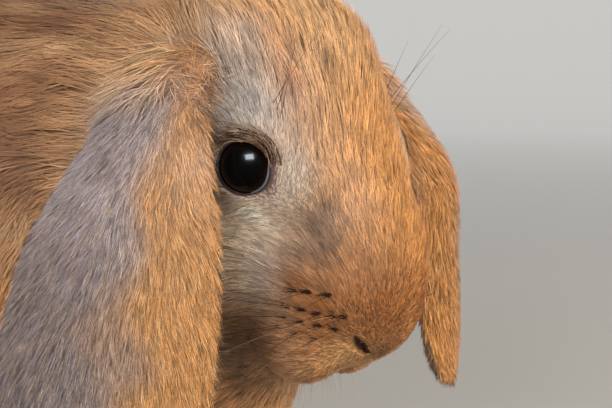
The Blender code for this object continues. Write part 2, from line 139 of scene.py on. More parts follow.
# The forms are written with the rabbit's midline at X = 0. The frame's own eyes say where that lies.
SHIFT = sum(np.array(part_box(f"eye_{word}")[i]) for word in SIDES.values() for i in (0, 1)) / 4
SHIFT -= (eye_frame(RIGHT)[0] + eye_frame(LEFT)[0]) / 2
print("the frame's origin lies", np.round(-SHIFT * 1000, 1), "mm from the forms' own")

# %% Forms of the head, neck, trunk and legs
HEAD_FORMS = (
    (mm(0, -20.6, 0.6), mm(40.5, 45.7, 37.4), mm(1)),
    (mm(0, -6, -15.7), mm(46, 40, 36), mm(12)),
    (mm(0, 15.3, -1.6), mm(27.5, 46.2, 29.4), mm(14)),
    (mm(0, 38.3, -12.8), mm(26, 31, 26.8), mm(12)),
    (mm(0, 20, -44), mm(25, 36, 25.5), mm(12)),
    (mm(0, 56.8, -8.8), mm(13, 10.6, 11.8), mm(8)),
    (mm(0, 42, -45.5), mm(15, 15, 12.7), mm(6)),
)
PAIRED_HEAD_FORMS = (
    (mm(24, -2.7, 7.4), mm(13.6, 25.5, 11), mm(12)),
    (mm(11, 48.2, -29.2), mm(15, 18.2, 15.8), mm(6)),
    (mm(26, 8, -34), mm(18, 26, 20), mm(12)),
    (mm(21.2, -34, 18.6), mm(17, 16, 11.4), mm(16)),
)
NECK = (mm(0, -66, 146), mm(0, -134, 162), mm(63), mm(48), mm(26))
TRUNK_FORMS = (
    (mm(0, 108, 119), mm(88, 100, 104), mm(1)),
    (mm(0, 32, 112), mm(82, 108, 102), mm(30)),
    (mm(0, -52, 110), mm(70, 76, 92), mm(30)),
    (mm(0, -115, 81), mm(50, 50, 51), mm(26)),
)
SHOULDER = (mm(42, -58, 88), mm(34, 50, 60), mm(20))
HAUNCH = (mm(70, 82, 84), mm(37, 82, 74), mm(14))
KNEE = (mm(78, 18, 54), mm(26, 36, 36), mm(14))
TAIL = (mm(0, 206, 90), mm(26, 27, 40), mm(8))
FOREARM = (mm(40, -92, 62), mm(34, -146, 22), mm(22), mm(13), mm(12))
FOREPAW = (mm(34, -146, 13), mm(35, -184, 10.5), mm(13), mm(12), mm(6))
HINDFOOT = (mm(80, 118, 15), mm(84, 2, 11.5), mm(15), mm(13.5), mm(8))
FORE_TOE_RADII = mm(4.9, 11, 8.2)
HIND_TOE_RADII = mm(5.6, 15, 9.4)
TOES = (-1.5, -0.5, 0.5, 1.5)
TOE_SOFTNESS = mm(2.5)
TOE_SPACING = 1.5
TOE_FAN, TOE_REACH, TOE_DROP = mm(3), mm(5), mm(2)
FEET_SOFTNESS, HEAD_SOFTNESS = mm(10), mm(12)
FAR_AWAY = 1.0
PAW_STEP = {RIGHT: mm(8), LEFT: mm(-2)}


def joined(points, forms, field=None):
    for centre, radii, softness in forms:
        form = ellipsoid(points, centre, radii)
        field = form if field is None else soft_union(field, form, softness)
    return field


def mirrored(points):
    """Both sides of the body folded onto its left one."""
    return np.column_stack((np.abs(points[:, 0]), points[:, 1:]))


def head_field(points):
    own = to_head(points)
    return joined(mirrored(own), PAIRED_HEAD_FORMS, joined(own, HEAD_FORMS))


def foot_field(points, side, limb, foot, toe_radii, shift):
    moved = points - np.array((0, shift, 0))
    field = round_cone(moved, on_side(foot[0], side), on_side(foot[1], side), foot[2], foot[3])
    if limb:
        part = round_cone(moved, on_side(limb[0], side), on_side(limb[1], side), limb[2], limb[3])
        field = soft_union(field, part, limb[4])
    end = on_side(foot[1], side) + np.array((0, shift, 0))
    for place in TOES:
        ahead = abs(place) * TOE_FAN - TOE_REACH
        toe = end + np.array((place * toe_radii[0] * TOE_SPACING, ahead, -TOE_DROP))
        field = soft_union(field, ellipsoid(points, toe, toe_radii), TOE_SOFTNESS)
    return field


def feet_field(points):
    """The nearest of the two forelegs and the two hind feet."""
    near = np.full(len(points), FAR_AWAY)
    for side in SIDES:
        near = np.minimum(near, foot_field(points, side, FOREARM, FOREPAW, FORE_TOE_RADII, PAW_STEP[side]))
        near = np.minimum(near, foot_field(points, side, None, HINDFOOT, HIND_TOE_RADII, 0))
    return near


def trunk_field(points):
    field = joined(mirrored(points), (SHOULDER, HAUNCH, KNEE), joined(points, TRUNK_FORMS))
    field = soft_union(field, ellipsoid(points, *TAIL[:2]), TAIL[2])
    return soft_union(field, round_cone(points, *NECK[:4]), NECK[4])


def flesh_field(points):
    field = soft_union(trunk_field(points), feet_field(points), FEET_SOFTNESS)
    return soft_union(field, head_field(points), HEAD_SOFTNESS)


# %% [markdown]
# ## The skin
# The solids reach out to the tips of the coat. The skin lies under them by the coat's depth, which is least
# on the nose and feet and most on the back. Lids, eye sockets, nostrils and mouth are added to the distance
# before it is turned into a mesh, so they grow out of the face with no seam.

# %% How deep the coat is
NOSE_TIP = mm(0, 69, -12)
NOSE_DEPTH, CROWN_GAIN = mm(0.6), mm(2.2)
BODY_DEPTH, FEET_DEPTH = mm(5), mm(1.6)


def zones(points):
    """How much each point belongs to the head and to the feet, and how far it is from nose and eye."""
    own = mirrored(to_head(points))
    head = 1 - rise(head_field(points), mm(4), mm(30))
    feet = (1 - rise(feet_field(points), mm(1), mm(8))) * (1 - rise(points[:, 2], mm(22), mm(48)))
    return own, head, feet, distance_from(own, NOSE_TIP), distance_from(own, EYE_CENTRE)


def coat_depth(points):
    _, head, feet, from_nose, from_eye = zones(points)
    beyond_eye = 0.35 + 0.65 * rise(from_eye, mm(10), mm(30))
    on_head = NOSE_DEPTH + CROWN_GAIN * rise(from_nose, mm(8), mm(95)) * beyond_eye
    depth = head * on_head + (1 - head) * BODY_DEPTH
    return feet * FEET_DEPTH + (1 - feet) * depth


def body_skin(points):
    return flesh_field(points) + coat_depth(points)


# %% Lids, nostrils and mouth
LID_OPENING = (radians(63), radians(56))
LID_THICKNESS = mm(0.75)
LID_POINT = 1.8
LID_OVERLAP = radians(4.5)
LID_SOFTNESS = mm(5)
EYE_GAP = mm(0.15)
MUZZLE_MIDDLE, MUZZLE_REACH = mm(0, 52, -28), mm(44)
CREASE_SOFTNESS = mm(0.8)


def lid_angle(turn):
    """Half the opening between the lids, as an angle at the eye's centre, in each direction round it."""
    wide, high = LID_OPENING
    ahead, above = np.abs(np.cos(turn) / wide), np.abs(np.sin(turn) / high)
    return (ahead**LID_POINT + above**LID_POINT) ** (-1 / LID_POINT)


def eye_coordinates(points, side):
    """Distance from the eye's centre, angle from its axis, and turn round it."""
    centre, axis, forward, up = eye_frame(side)
    reach = points - centre
    distance = np.linalg.norm(reach, axis=1) + 1e-9
    angle = np.arccos(np.clip(reach @ axis / distance, -1, 1))
    return distance, angle, np.arctan2(reach @ up, reach @ forward)


def beside_lids(points, side):
    """How far outside the edge of the lids a point lies, along the eyeball, or at least from the ball."""
    distance, angle, turn = eye_coordinates(points, side)
    return np.maximum(EYE_RADIUS * (angle - lid_angle(turn)), distance - 2 * EYE_RADIUS)


def tube_field(points, path, radii):
    """The distance from a bent tube whose radius changes along its path."""
    near = np.full(len(points), FAR_AWAY)
    for start, end, first, last in zip(path, path[1:], radii, radii[1:]):
        near = np.minimum(near, round_cone(points, start, end, first, last))
    return near


def on_skin(start, direction):
    """Where a ray from inside the head comes out of its skin, as a point of the model."""
    direction = np.array(direction) / np.linalg.norm(direction)
    reaches = np.linspace(0, mm(60), 481)
    places = from_head(start + reaches[:, None] * direction)
    return places[np.argmax(body_skin(places) > 0)]


NOSTRILS = {}
for side in SIDES:
    aims = [(side * (0.84 - 0.36 * t), 0.5 + 0.34 * t, 0.24 - 0.2 * t) for t in np.linspace(0, 1, 6)]
    NOSTRILS[side] = [on_skin(mm(0, 54, -13), aim) for aim in aims]
NOSTRIL_RADII = mm(0.7, 1.3, 1.65, 1.7, 1.45, 0.8)
cleft_turns = np.radians(np.linspace(-4, -46, 7))
CLEFT = [on_skin(mm(0, 44, -22), (0, cos(t), sin(t))) for t in cleft_turns]
CLEFT_RADII = [mm(0.8)] * len(CLEFT)
mouth_turns = np.radians(np.linspace(-62, 62, 15))
MOUTH = [on_skin(mm(0, 34, -38), (sin(t), cos(t), -0.05 - 0.12 * abs(sin(t)))) for t in mouth_turns]
MOUTH_RADII = [mm(1.0) * cos(t) ** 0.5 for t in mouth_turns]


def face_skin(points):
    """The skin with the small forms of the face."""
    field = body_skin(points)
    for side in SIDES:
        distance, angle, turn = eye_coordinates(points, side)
        field = soft_union(field, distance - EYE_RADIUS - LID_THICKNESS, LID_SOFTNESS)
        opening = EYE_RADIUS * (angle - lid_angle(turn) - LID_OVERLAP)
        field = np.maximum(field, -np.minimum(distance - EYE_RADIUS - EYE_GAP, opening))
    muzzle = np.flatnonzero(distance_from(points, from_head(MUZZLE_MIDDLE)) < MUZZLE_REACH)
    near = points[muzzle]
    carved = [tube_field(near, NOSTRILS[side], NOSTRIL_RADII) for side in SIDES]
    carved += [tube_field(near, CLEFT, CLEFT_RADII), tube_field(near, MOUTH, MOUTH_RADII)]
    for tube in carved:
        field[muzzle] = -soft_union(-field[muzzle], tube, CREASE_SOFTNESS)
    return field


# %% [markdown]
# A distance is turned into a mesh on a grid. Each grid cell that the surface crosses gets one point, at the
# mean of the crossings on its edges, and each crossed edge gets a face between its four cells. The head
# needs cells near 1 mm for its lids and nostrils. The body can do with larger ones.

# %% A mesh from a distance


def surface_of(field, low, high, step):
    """Points and four-cornered faces where the field is 0."""
    counts = [ceil((b - a) / step) + 1 for a, b in zip(low, high)]
    axes = [low[i] + step * np.arange(counts[i]) for i in range(3)]
    grid = np.stack(np.meshgrid(*axes, indexing="ij"), axis=-1)
    values = field(grid.reshape(-1, 3)).reshape(counts)
    cells = [n - 1 for n in counts]
    corners = [(i, j, k) for i in (0, 1) for j in (0, 1) for k in (0, 1)]
    at = {c: values[tuple(slice(c[a], c[a] + cells[a]) for a in range(3))] for c in corners}
    crossings = np.zeros(cells)
    total = np.zeros((*cells, 3))
    for first in corners:
        for axis in range(3):
            if first[axis]:
                continue
            second = tuple(c + (a == axis) for a, c in enumerate(first))
            crossed = (at[first] < 0) != (at[second] < 0)
            share = np.where(crossed, at[first] / np.where(crossed, at[first] - at[second], 1), 0)
            for a in range(3):
                total[..., a] += crossed * (first[a] + (share if a == axis else 0))
            crossings += crossed
    used = crossings > 0
    number = np.full(cells, -1)
    number[used] = np.arange(used.sum())
    points = np.array(low) + step * (np.argwhere(used) + total[used] / crossings[used][:, None])
    faces = []
    for axis in range(3):
        b, c = (axis + 1) % 3, (axis + 2) % 3
        inner = [slice(1, n - 1) for n in counts]
        inner[axis] = slice(0, counts[axis] - 1)
        after = list(inner)
        after[axis] = slice(1, counts[axis])
        near, far = values[tuple(inner)] < 0, values[tuple(after)] < 0
        edges = np.argwhere(near != far)
        leaving = near[near != far]
        edges[:, [b, c]] += 1
        ring = []
        for shift_b, shift_c in ((1, 1), (0, 1), (0, 0), (1, 0)):
            cell = edges.copy()
            cell[:, b] -= shift_b
            cell[:, c] -= shift_c
            ring.append(number[tuple(cell.T)])
        ring = np.stack(ring, axis=1)
        ring[~leaving] = ring[~leaving][:, ::-1]
        faces.append(ring)
    return points, np.concatenate(faces)


def closed_grid(rows, columns, looped_rows=False):
    """Faces between the rows of a grid whose columns go round, and whose rows may too."""
    number = np.arange(rows * columns).reshape(rows, columns)
    if looped_rows:
        number = np.vstack((number, number[:1]))
    after = np.roll(number, -1, axis=1)
    return np.stack((number[:-1], after[:-1], after[1:], number[1:]), axis=-1).reshape(-1, 4)


def add_object(name, data):
    """An object of the scene from its data."""
    made = bpy.data.objects.new(name, data)
    bpy.context.scene.collection.objects.link(made)
    return made


def mesh_of(name, points, faces):
    """A mesh object from arrays, all faces with the same number of corners."""
    mesh = bpy.data.meshes.new(name)
    corners = faces.shape[1]
    mesh.vertices.add(len(points))
    mesh.vertices.foreach_set("co", np.asarray(points, np.float32).ravel())
    mesh.loops.add(faces.size)
    mesh.loops.foreach_set("vertex_index", faces.astype(np.int32).ravel())
    mesh.polygons.add(len(faces))
    mesh.polygons.foreach_set("loop_start", np.arange(0, faces.size, corners, dtype=np.int32))
    mesh.update(calc_edges=True)
    return add_object(name, mesh)


@contextmanager
def opened(made):
    """A mesh opened for changes of its points and faces, and written back after them."""
    shape = bmesh.new()
    shape.from_mesh(made.data)
    yield shape
    shape.to_mesh(made.data)
    shape.free()


def unite(made, other):
    """Joins two closed surfaces into one."""
    modifier = made.modifiers.new("unite", "BOOLEAN")
    modifier.operation, modifier.solver, modifier.object = "UNION", "MANIFOLD", other
    graph = bpy.context.evaluated_depsgraph_get()
    mesh = bpy.data.meshes.new_from_object(made.evaluated_get(graph))
    made.modifiers.clear()
    made.data = mesh
    bpy.data.objects.remove(other)
    return made


# %% The skin of the head and the body
HEAD_STEP, BODY_STEP = mm(1.15), mm(3)
HEAD_LOW, HEAD_HIGH = mm(-62, -226, 70), mm(62, -96, 216)
BODY_LOW, BODY_HIGH = mm(-112, -226, -6), mm(112, 240, 228)
FRONT_BALL = mm(0, -202, 160), mm(98, 98, 98)
REAR_BALL = mm(0, -212, 164), mm(96, 96, 96)
FLOOR_CLEARANCE = mm(0.6)


def head_part(points):
    """The head and the front of the neck, ended by a ball."""
    return np.maximum(face_skin(points), ellipsoid(points, *FRONT_BALL))


def body_part(points):
    """The rest, ended by a slightly deeper ball, and standing just clear of the floor."""
    behind = np.maximum(body_skin(points), -ellipsoid(points, *REAR_BALL))
    return np.maximum(behind, FLOOR_CLEARANCE - points[:, 2])


head_points, head_faces = surface_of(head_part, HEAD_LOW, HEAD_HIGH, HEAD_STEP)
body_points, body_faces = surface_of(body_part, BODY_LOW, BODY_HIGH, BODY_STEP)
print("skin:", len(head_faces), "faces on the head,", len(body_faces), "on the body")

# %% [markdown]
# ## The ears
# A lop ear is one leaf of skin: rolled where it leaves the skull, bent over the crest, then hanging with its
# opening towards the cheek. A ridge line gives the way it hangs, and each station along it carries a curved
# section. The same leaf gives the places and the lie of the fur on its outside, inside and rim.

# %% The leaf of an ear
EAR_ROOT = mm(30, -44, 14)
EAR_WIDTH, EAR_ROOT_WIDTH = mm(88), mm(34)
EAR_THICKNESS, EAR_EDGE_THICKNESS = mm(4.8), mm(1.6)
EAR_WIDEST, EAR_ENDS = 0.78, 1.02
EAR_CURLS = {RIGHT: np.radians((200, 88, 88)), LEFT: np.radians((200, 148, 62))}
EAR_OPENS = 0.35
EAR_FLARES = {RIGHT: ((0, 0.15, 1), (0, 9.5, 18)), LEFT: ((0, 0.2, 0.6, 1), (0, 66, 55, 55))}
# Sideways, forwards and up from the ear's root.
RIGHT_LINE = (
    (0, 0, 0), (12, -1, -6), (25, -2, -19), (38, 0, -37), (47, -1, -61), (52, -6, -92), (53, -10, -124),
    (50, -11, -153),
)
LEFT_LINE = (
    (0, 0, 0), (14, 3, -4), (30, 8, -17), (45, 15, -32), (57, 22, -54), (60, 22, -84), (61, 22, -112),
    (58, 22, -135),
)
EAR_LINES = {RIGHT: mm(*RIGHT_LINE), LEFT: mm(*LEFT_LINE)}
EAR_COAT = mm(1.5)
EAR_RIM_COAT = mm(2.5)
EAR_END = 0.97
EAR_THINNING = 0.45
EAR_FULLEST = 0.6
EAR_STATIONS, EAR_PLACES = 90, 41


def smooth_path(points, shares):
    """Points of a smooth curve through the given ones, at shares of its way from 0 to 1."""
    points = [2 * points[0] - points[1], *points, 2 * points[-1] - points[-2]]
    made = []
    for t in np.asarray(shares) * (len(points) - 3):
        i = min(int(t), len(points) - 4)
        u = t - i
        a, b, c, d = points[i : i + 4]
        square, cube = 2 * a - 5 * b + 4 * c - d, 3 * b - a - 3 * c + d
        made.append(0.5 * (2 * b + (c - a) * u + square * u**2 + cube * u**3))
    return np.array(made)


def ear_width(share):
    """The ear's width laid flat, from its root (0) to its tip (1)."""
    tip = EAR_WIDTH * np.sqrt(np.clip(1 - ((share - EAR_WIDEST) / (EAR_ENDS - EAR_WIDEST)) ** 2, 0, 1))
    rising = np.sin(pi / 2 * np.clip(share / EAR_WIDEST, 0, 1)) ** 3
    rising = EAR_ROOT_WIDTH + (EAR_WIDTH - EAR_ROOT_WIDTH) * rising
    return np.where(share > EAR_WIDEST, tip, rising)


def ear_curl(side, share):
    """The angle through which the ear's section bends: rolled at the root, then a blade, then its tip."""
    root, blade, tip = EAR_CURLS[side]
    opened = root + (blade - root) * min(share / EAR_OPENS, 1) ** 0.7
    return opened + (tip - blade) * max(share - EAR_OPENS, 0) / (1 - EAR_OPENS)


def ear_leaf(side):
    """Middle points, outward normals and half thickness on a grid over the leaf."""
    level = np.array((SIDE_AXIS * side, HEADING, UPRIGHT))
    root = from_head(on_side(EAR_ROOT, side))
    shares = np.linspace(0, EAR_END, EAR_STATIONS)
    line = smooth_path([root + step @ level for step in EAR_LINES[side]], shares)
    places = np.linspace(-1, 1, EAR_PLACES)
    middle, normals = np.empty((2, EAR_STATIONS, EAR_PLACES, 3))
    half = np.empty((EAR_STATIONS, EAR_PLACES))
    for i, share in enumerate(shares):
        along = line[min(i + 1, EAR_STATIONS - 1)] - line[max(i - 1, 0)]
        along /= np.linalg.norm(along)
        flare = radians(np.interp(share, *EAR_FLARES[side]))
        back = SIDE_AXIS * side * sin(flare) - HEADING * cos(flare)
        back -= along * (back @ along)
        back /= np.linalg.norm(back)
        outer = np.cross(back, along) * -side
        curl = ear_curl(side, share)
        radius = ear_width(share) / curl
        angles = places[:, None] * (curl / 2 - EAR_RIM_COAT / radius)
        normals[i] = outer * np.cos(angles) + back * np.sin(angles)
        thin = EAR_THICKNESS * (1 - EAR_THINNING * share)
        full = EAR_EDGE_THICKNESS + (thin - EAR_EDGE_THICKNESS) * (1 - places**4)
        full = np.minimum(full, radius * EAR_FULLEST)
        half[i] = full / 2
        middle[i] = line[i] + (normals[i] - outer) * radius - normals[i] * half[i][:, None]
    return middle, normals, half


def ear_skin(name, leaf):
    """A closed shell round the leaf, thinner than the solid by the depth of its coat."""
    middle, normals, half = leaf
    thickness = np.maximum(half - EAR_COAT / 2, mm(0.35))[..., None]
    rim = normals * thickness
    ring = np.concatenate((middle + rim, (middle - rim)[:, ::-1]), axis=1)
    stations, around = ring.shape[:2]
    number = np.arange(stations * around).reshape(stations, around)
    caps = []
    for row in (0, stations - 1):
        front, rear = number[row, : around // 2], number[row, around // 2 :][::-1]
        caps.append(np.stack((front[:-1], rear[:-1], rear[1:], front[1:]), axis=-1)[:, :: -1 if row else 1])
    made = mesh_of(name, ring.reshape(-1, 3), np.concatenate((closed_grid(stations, around), *caps)))
    station, place = EAR_STATIONS // 2, EAR_PLACES // 2
    if rim[station, place] @ made.data.polygons[station * around + place].normal < 0:
        made.data.flip_normals()
    return made


EARS = {side: ear_leaf(side) for side in SIDES}

# %% One skin


def keep_largest(made):
    """Drops the scraps that a union can leave, and keeps the largest surface."""
    with opened(made) as shape:
        left, groups = set(shape.verts), []
        while left:
            group, edge = set(), [left.pop()]
            while edge:
                vertex = edge.pop()
                group.add(vertex)
                near = [e.other_vert(vertex) for e in vertex.link_edges]
                fresh = [v for v in near if v in left]
                left.difference_update(fresh)
                edge += fresh
            groups.append(group)
        scraps = sorted(groups, key=len)[:-1]
        bmesh.ops.delete(shape, geom=[v for group in scraps for v in group], context="VERTS")
    print(made.name, "keeps", len(made.data.vertices), "points and drops", len(scraps), "scraps")


skin = mesh_of("skin", head_points, head_faces)
unite(skin, mesh_of("body_part", body_points, body_faces))
for side, word in SIDES.items():
    before = len(skin.data.vertices)
    unite(skin, ear_skin(f"ear_{word}_part", EARS[side]))
    print(f"the {word} ear adds", len(skin.data.vertices) - before, "points")
keep_largest(skin)

# %% [markdown]
# ## What the skin says about its coat
# Every point of the skin is asked a few things: how long the fur is there, how deep the coat, how wide a
# tuft, which way it lies and what colour it has. Tufts then read these answers where they are rooted, so the
# coat and the skin under it always agree. First the skin is unwrapped, so that each tuft can carry the place
# of its root on that unwrap.

# %% The unwrap
UNWRAP_ANGLE, UNWRAP_MARGIN = radians(66), 0.002
bpy.context.view_layer.objects.active = skin
skin.select_set(True)
skin.data.uv_layers.new(name="OFBake")
bpy.ops.object.mode_set(mode="EDIT")
bpy.ops.mesh.select_all(action="SELECT")
bpy.ops.uv.smart_project(angle_limit=UNWRAP_ANGLE, island_margin=UNWRAP_MARGIN)
bpy.ops.object.mode_set(mode="OBJECT")


def values_of(items, name, width, kind=np.float32):
    """One value, or a row of them, for each of a mesh's items."""
    values = np.empty(len(items) * width, kind)
    items.foreach_get(name, values)
    return values.reshape(-1, width) if width > 1 else values


skin.data.calc_loop_triangles()
PLACES = values_of(skin.data.vertices, "co", 3).astype(float)
NORMALS = values_of(skin.data.vertex_normals, "vector", 3).astype(float)
TRIANGLES = values_of(skin.data.loop_triangles, "vertices", 3, np.int32)
TRIANGLE_LOOPS = values_of(skin.data.loop_triangles, "loops", 3, np.int32)
AREAS = values_of(skin.data.loop_triangles, "area", 1).astype(float)
UNWRAP = values_of(skin.data.uv_layers["OFBake"].data, "uv", 2)
print("unwrapped", len(TRIANGLES), "triangles,", round(AREAS.sum() * 1e4), "square centimetres of skin")

# %% Zones
LEAF_REACH = mm(2.8)
own, HEAD, FEET, from_nose, from_eye = zones(PLACES)
beside = np.minimum(beside_lids(PLACES, RIGHT), beside_lids(PLACES, LEFT))
count = len(PLACES)
EAR, EAR_SHARE, EAR_ACROSS, EAR_FACE = np.zeros((4, count))
EAR_ALONG, EAR_SIDEWAYS = np.zeros((2, count, 3))


def unit(vectors):
    return vectors / (np.linalg.norm(vectors, axis=-1, keepdims=True) + 1e-12)


for side in SIDES:
    middle, normals, _ = EARS[side]
    tree = KDTree(middle.size // 3)
    for i, place in enumerate(middle.reshape(-1, 3)):
        tree.insert(place, i)
    tree.balance()
    along = unit(np.gradient(middle, axis=0)).reshape(-1, 3)
    sideways = unit(np.gradient(middle, axis=1)).reshape(-1, 3)
    low, high = middle.min(axis=(0, 1)) - mm(3), middle.max(axis=(0, 1)) + mm(3)
    for i in np.flatnonzero(((PLACES > low) & (PLACES < high)).all(axis=1)):
        _, nearest, distance = tree.find(PLACES[i])
        if distance < LEAF_REACH:
            station, place = divmod(nearest, EAR_PLACES)
            EAR[i] = 1
            EAR_SHARE[i] = station / (EAR_STATIONS - 1)
            EAR_ACROSS[i] = place / (EAR_PLACES - 1) * 2 - 1
            reach = PLACES[i] - middle[station, place]
            EAR_FACE[i] = np.sign(reach @ normals[station, place])
            EAR_ALONG[i], EAR_SIDEWAYS[i] = along[nearest], sideways[nearest]

HEAD *= 1 - EAR
FEET *= 1 - EAR
OUTER = EAR * (EAR_FACE > 0)
INNER = EAR - OUTER
SWEPT = OUTER * (1 - rise(EAR_SHARE, 0.2, 0.38)) * rise(EAR_ACROSS, -0.35, 0.1)
CURLY = OUTER * (1 - rise(EAR_SHARE, 0.2, 0.36)) * (1 - SWEPT)
FRONT = (1 - rise(PLACES[:, 1], mm(-90), mm(10))) * (1 - EAR) * (1 - HEAD)
LEGS = (1 - rise(feet_field(PLACES), mm(1), mm(10))) * (1 - rise(PLACES[:, 2], mm(50), mm(80))) * (1 - EAR)
TAIL_PART = (1 - rise(ellipsoid(PLACES, *TAIL[:2]), mm(-7), mm(2))) * rise(PLACES[:, 1], mm(178), mm(192))
BELLY = rise(-NORMALS[:, 2], 0.1, 0.7) * (1 - HEAD) * (1 - EAR) * (1 - FEET)
CHEEK = HEAD * rise(own[:, 0], mm(20), mm(34)) * (1 - rise(own[:, 2], mm(-6), mm(14)))
BROW = HEAD * (1 - rise(beside, mm(1.6), mm(3.8))) * rise(own[:, 2] - 0.8 * own[:, 1], mm(4), mm(12))
MUZZLE = HEAD * (1 - rise(from_nose, mm(16), mm(34)))
for word, part in (("head", HEAD), ("ears", EAR), ("feet", FEET), ("tail", TAIL_PART), ("belly", BELLY)):
    print(f"{word}: {round((AREAS * part[TRIANGLES].mean(axis=1)).sum() * 1e4)} square centimetres")

# %% [markdown]
# ## The lie of the coat
# Fur starts at the nose and lies backwards: up the bridge to the crown, round the eyes, back and down over
# the cheeks, along the back, down the sides and legs, and forward over the toes. At the upper lid it turns
# along the lid's edge. On an ear it runs to the tip and turns out to the rims, but over the ear's top the long
# hair of the neck falls back and down.

# %% Which way the fur lies


def blend(first, second, share):
    """Rows that go from the first ones to the second ones with each point's share."""
    return first * (1 - share)[:, None] + second * share[:, None]


def coat_lie():
    towards = unit(own - NOSE_TIP) + CHEEK[:, None] * (0, 0, -0.5)
    round_eye = unit(own - EYE_CENTRE) * (1 - rise(from_eye, mm(11), mm(24)))[:, None]
    towards = unit(towards) + 0.75 * round_eye
    towards[:, 0] *= np.sign(to_head(PLACES)[:, 0])
    on_head = unit(towards @ HEAD_AXES)
    for side in SIDES:
        _, _, forward, up = eye_frame(side)
        turn = eye_coordinates(PLACES, side)[2][:, None]
        here = (BROW * (to_head(PLACES)[:, 0] * side > 0))[:, None]
        along_lid = np.cos(turn) * (up + 0.35 * forward) - np.sin(turn) * (forward - 0.35 * up)
        on_head = unit(on_head * (1 - 0.85 * here) + 0.85 * here * along_lid)
    ahead, behind = np.clip(-NORMALS[:, 1], 0, 1), np.clip(NORMALS[:, 1], 0, 1)
    down = 0.45 * np.abs(NORMALS[:, 0]) + 1.6 * ahead * FRONT + behind
    on_body = unit(np.column_stack((0 * down, np.ones(count), -down)))
    on_legs = blend(np.array((0, -0.25, -1)), np.array((0, -1, -0.1)), FEET)
    on_body = unit(blend(on_body, on_legs, np.maximum(LEGS, FEET)))
    on_body = unit(blend(on_body, np.array((0, 0.3, 1)), TAIL_PART))
    on_ear = EAR_ALONG + EAR_SIDEWAYS * (EAR_ACROSS * np.where(OUTER > 0, 0.4, 0.7))[:, None]
    swept = np.column_stack((0.25 * np.sign(PLACES[:, 0]), np.full(count, 0.6), np.full(count, -0.72)))
    on_ear = blend(on_ear, swept, SWEPT)
    found = on_head * HEAD[:, None] + on_body * (1 - HEAD - EAR)[:, None] + on_ear * EAR[:, None]
    found -= NORMALS * (found * NORMALS).sum(axis=1)[:, None]
    return unit(found)


LIE = coat_lie()

# %% [markdown]
# ## How long and how dense
# The length grows from a millimetre at the nose to more than twenty on the back. A tuft's width follows its
# length, and the number of tufts on each square millimetre is what it takes to cover the skin a few times.
# The right side of the face is seen from closest, so its tufts are the finest.

# %% Length, depth and width
MOST_DENSE = 13e6
nose_steps = mm(0, 8, 20, 40, 65, 95, 125)
near_nose = np.interp(from_nose, nose_steps, mm(0.9, 1.3, 2.3, 4.8, 7.4, 10, 14))
near_eye = np.maximum(0.16 + 0.84 * rise(beside, mm(0.5), mm(14)), 0.62 * BROW)
head_length = near_nose * near_eye * (1 + 0.6 * CHEEK)
head_width = np.interp(from_nose, nose_steps, mm(0.3, 0.3, 0.28, 0.27, 0.3, 0.36, 0.5))
head_width *= 0.6 + 0.4 * near_eye
body_length = mm(24) - mm(3) * FRONT - mm(9) * BELLY
body_width = mm(0.66) - mm(0.3) * FRONT + mm(0.45) * BELLY
for part, long, wide in ((LEGS, mm(9), mm(0.6)), (FEET, mm(4.4), mm(0.56))):
    body_length = body_length * (1 - part) + long * part
    body_width = body_width * (1 - part) + wide * part
rim = rise(np.abs(EAR_ACROSS), 0.82, 1)
ear_length = (mm(6.2) - mm(2.4) * rise(EAR_SHARE, 0.85, 1) + mm(3.5) * CURLY + mm(19) * SWEPT) * OUTER
ear_length += (mm(4.5) + mm(2) * rim * (1 - rise(EAR_SHARE, 0.85, 1))) * INNER
ear_widths = (mm(0.26) + mm(0.1) * SWEPT) * OUTER + mm(0.45) * INNER
rest = 1 - HEAD - EAR
LENGTH = head_length * HEAD + body_length * rest + ear_length
WIDTH = head_width * HEAD + body_width * rest + ear_widths
WIDTH *= 1 + 0.45 * rise(PLACES[:, 0], mm(-6), mm(24))
DEPTH = coat_depth(PLACES) * (1 - EAR) + EAR_COAT * EAR * (0.95 - 0.2 * INNER)
DEPTH += mm(2.2) * CURLY + mm(4) * SWEPT
DEPTH = np.minimum(DEPTH, 0.5 * LENGTH)
ear_root = 1 - rise(EAR_SHARE, 0.06, 0.16)
COVER = 3.4 * HEAD + (3.3 - 1.4 * BELLY) * rest + (3.3 + 0.8 * SWEPT) * OUTER + (1.3 + 3 * ear_root) * INNER
nostrils = np.minimum(*(tube_field(PLACES, NOSTRILS[side], NOSTRIL_RADII) for side in SIDES))
BARE = np.maximum(1 - rise(beside, mm(0.7), mm(1.1)), 1 - rise(nostrils, mm(0.1), mm(0.7)))
BARE = np.maximum(BARE, 1 - rise(tube_field(PLACES, MOUTH, MOUTH_RADII), mm(0.1), mm(0.5)))
BARE = np.maximum(BARE * (1 - EAR), (PLACES[:, 2] < mm(3)) * (NORMALS[:, 2] < -0.4))
DENSITY = np.minimum(COVER / (0.5 * WIDTH * LENGTH), MOST_DENSE) * (1 - BARE)
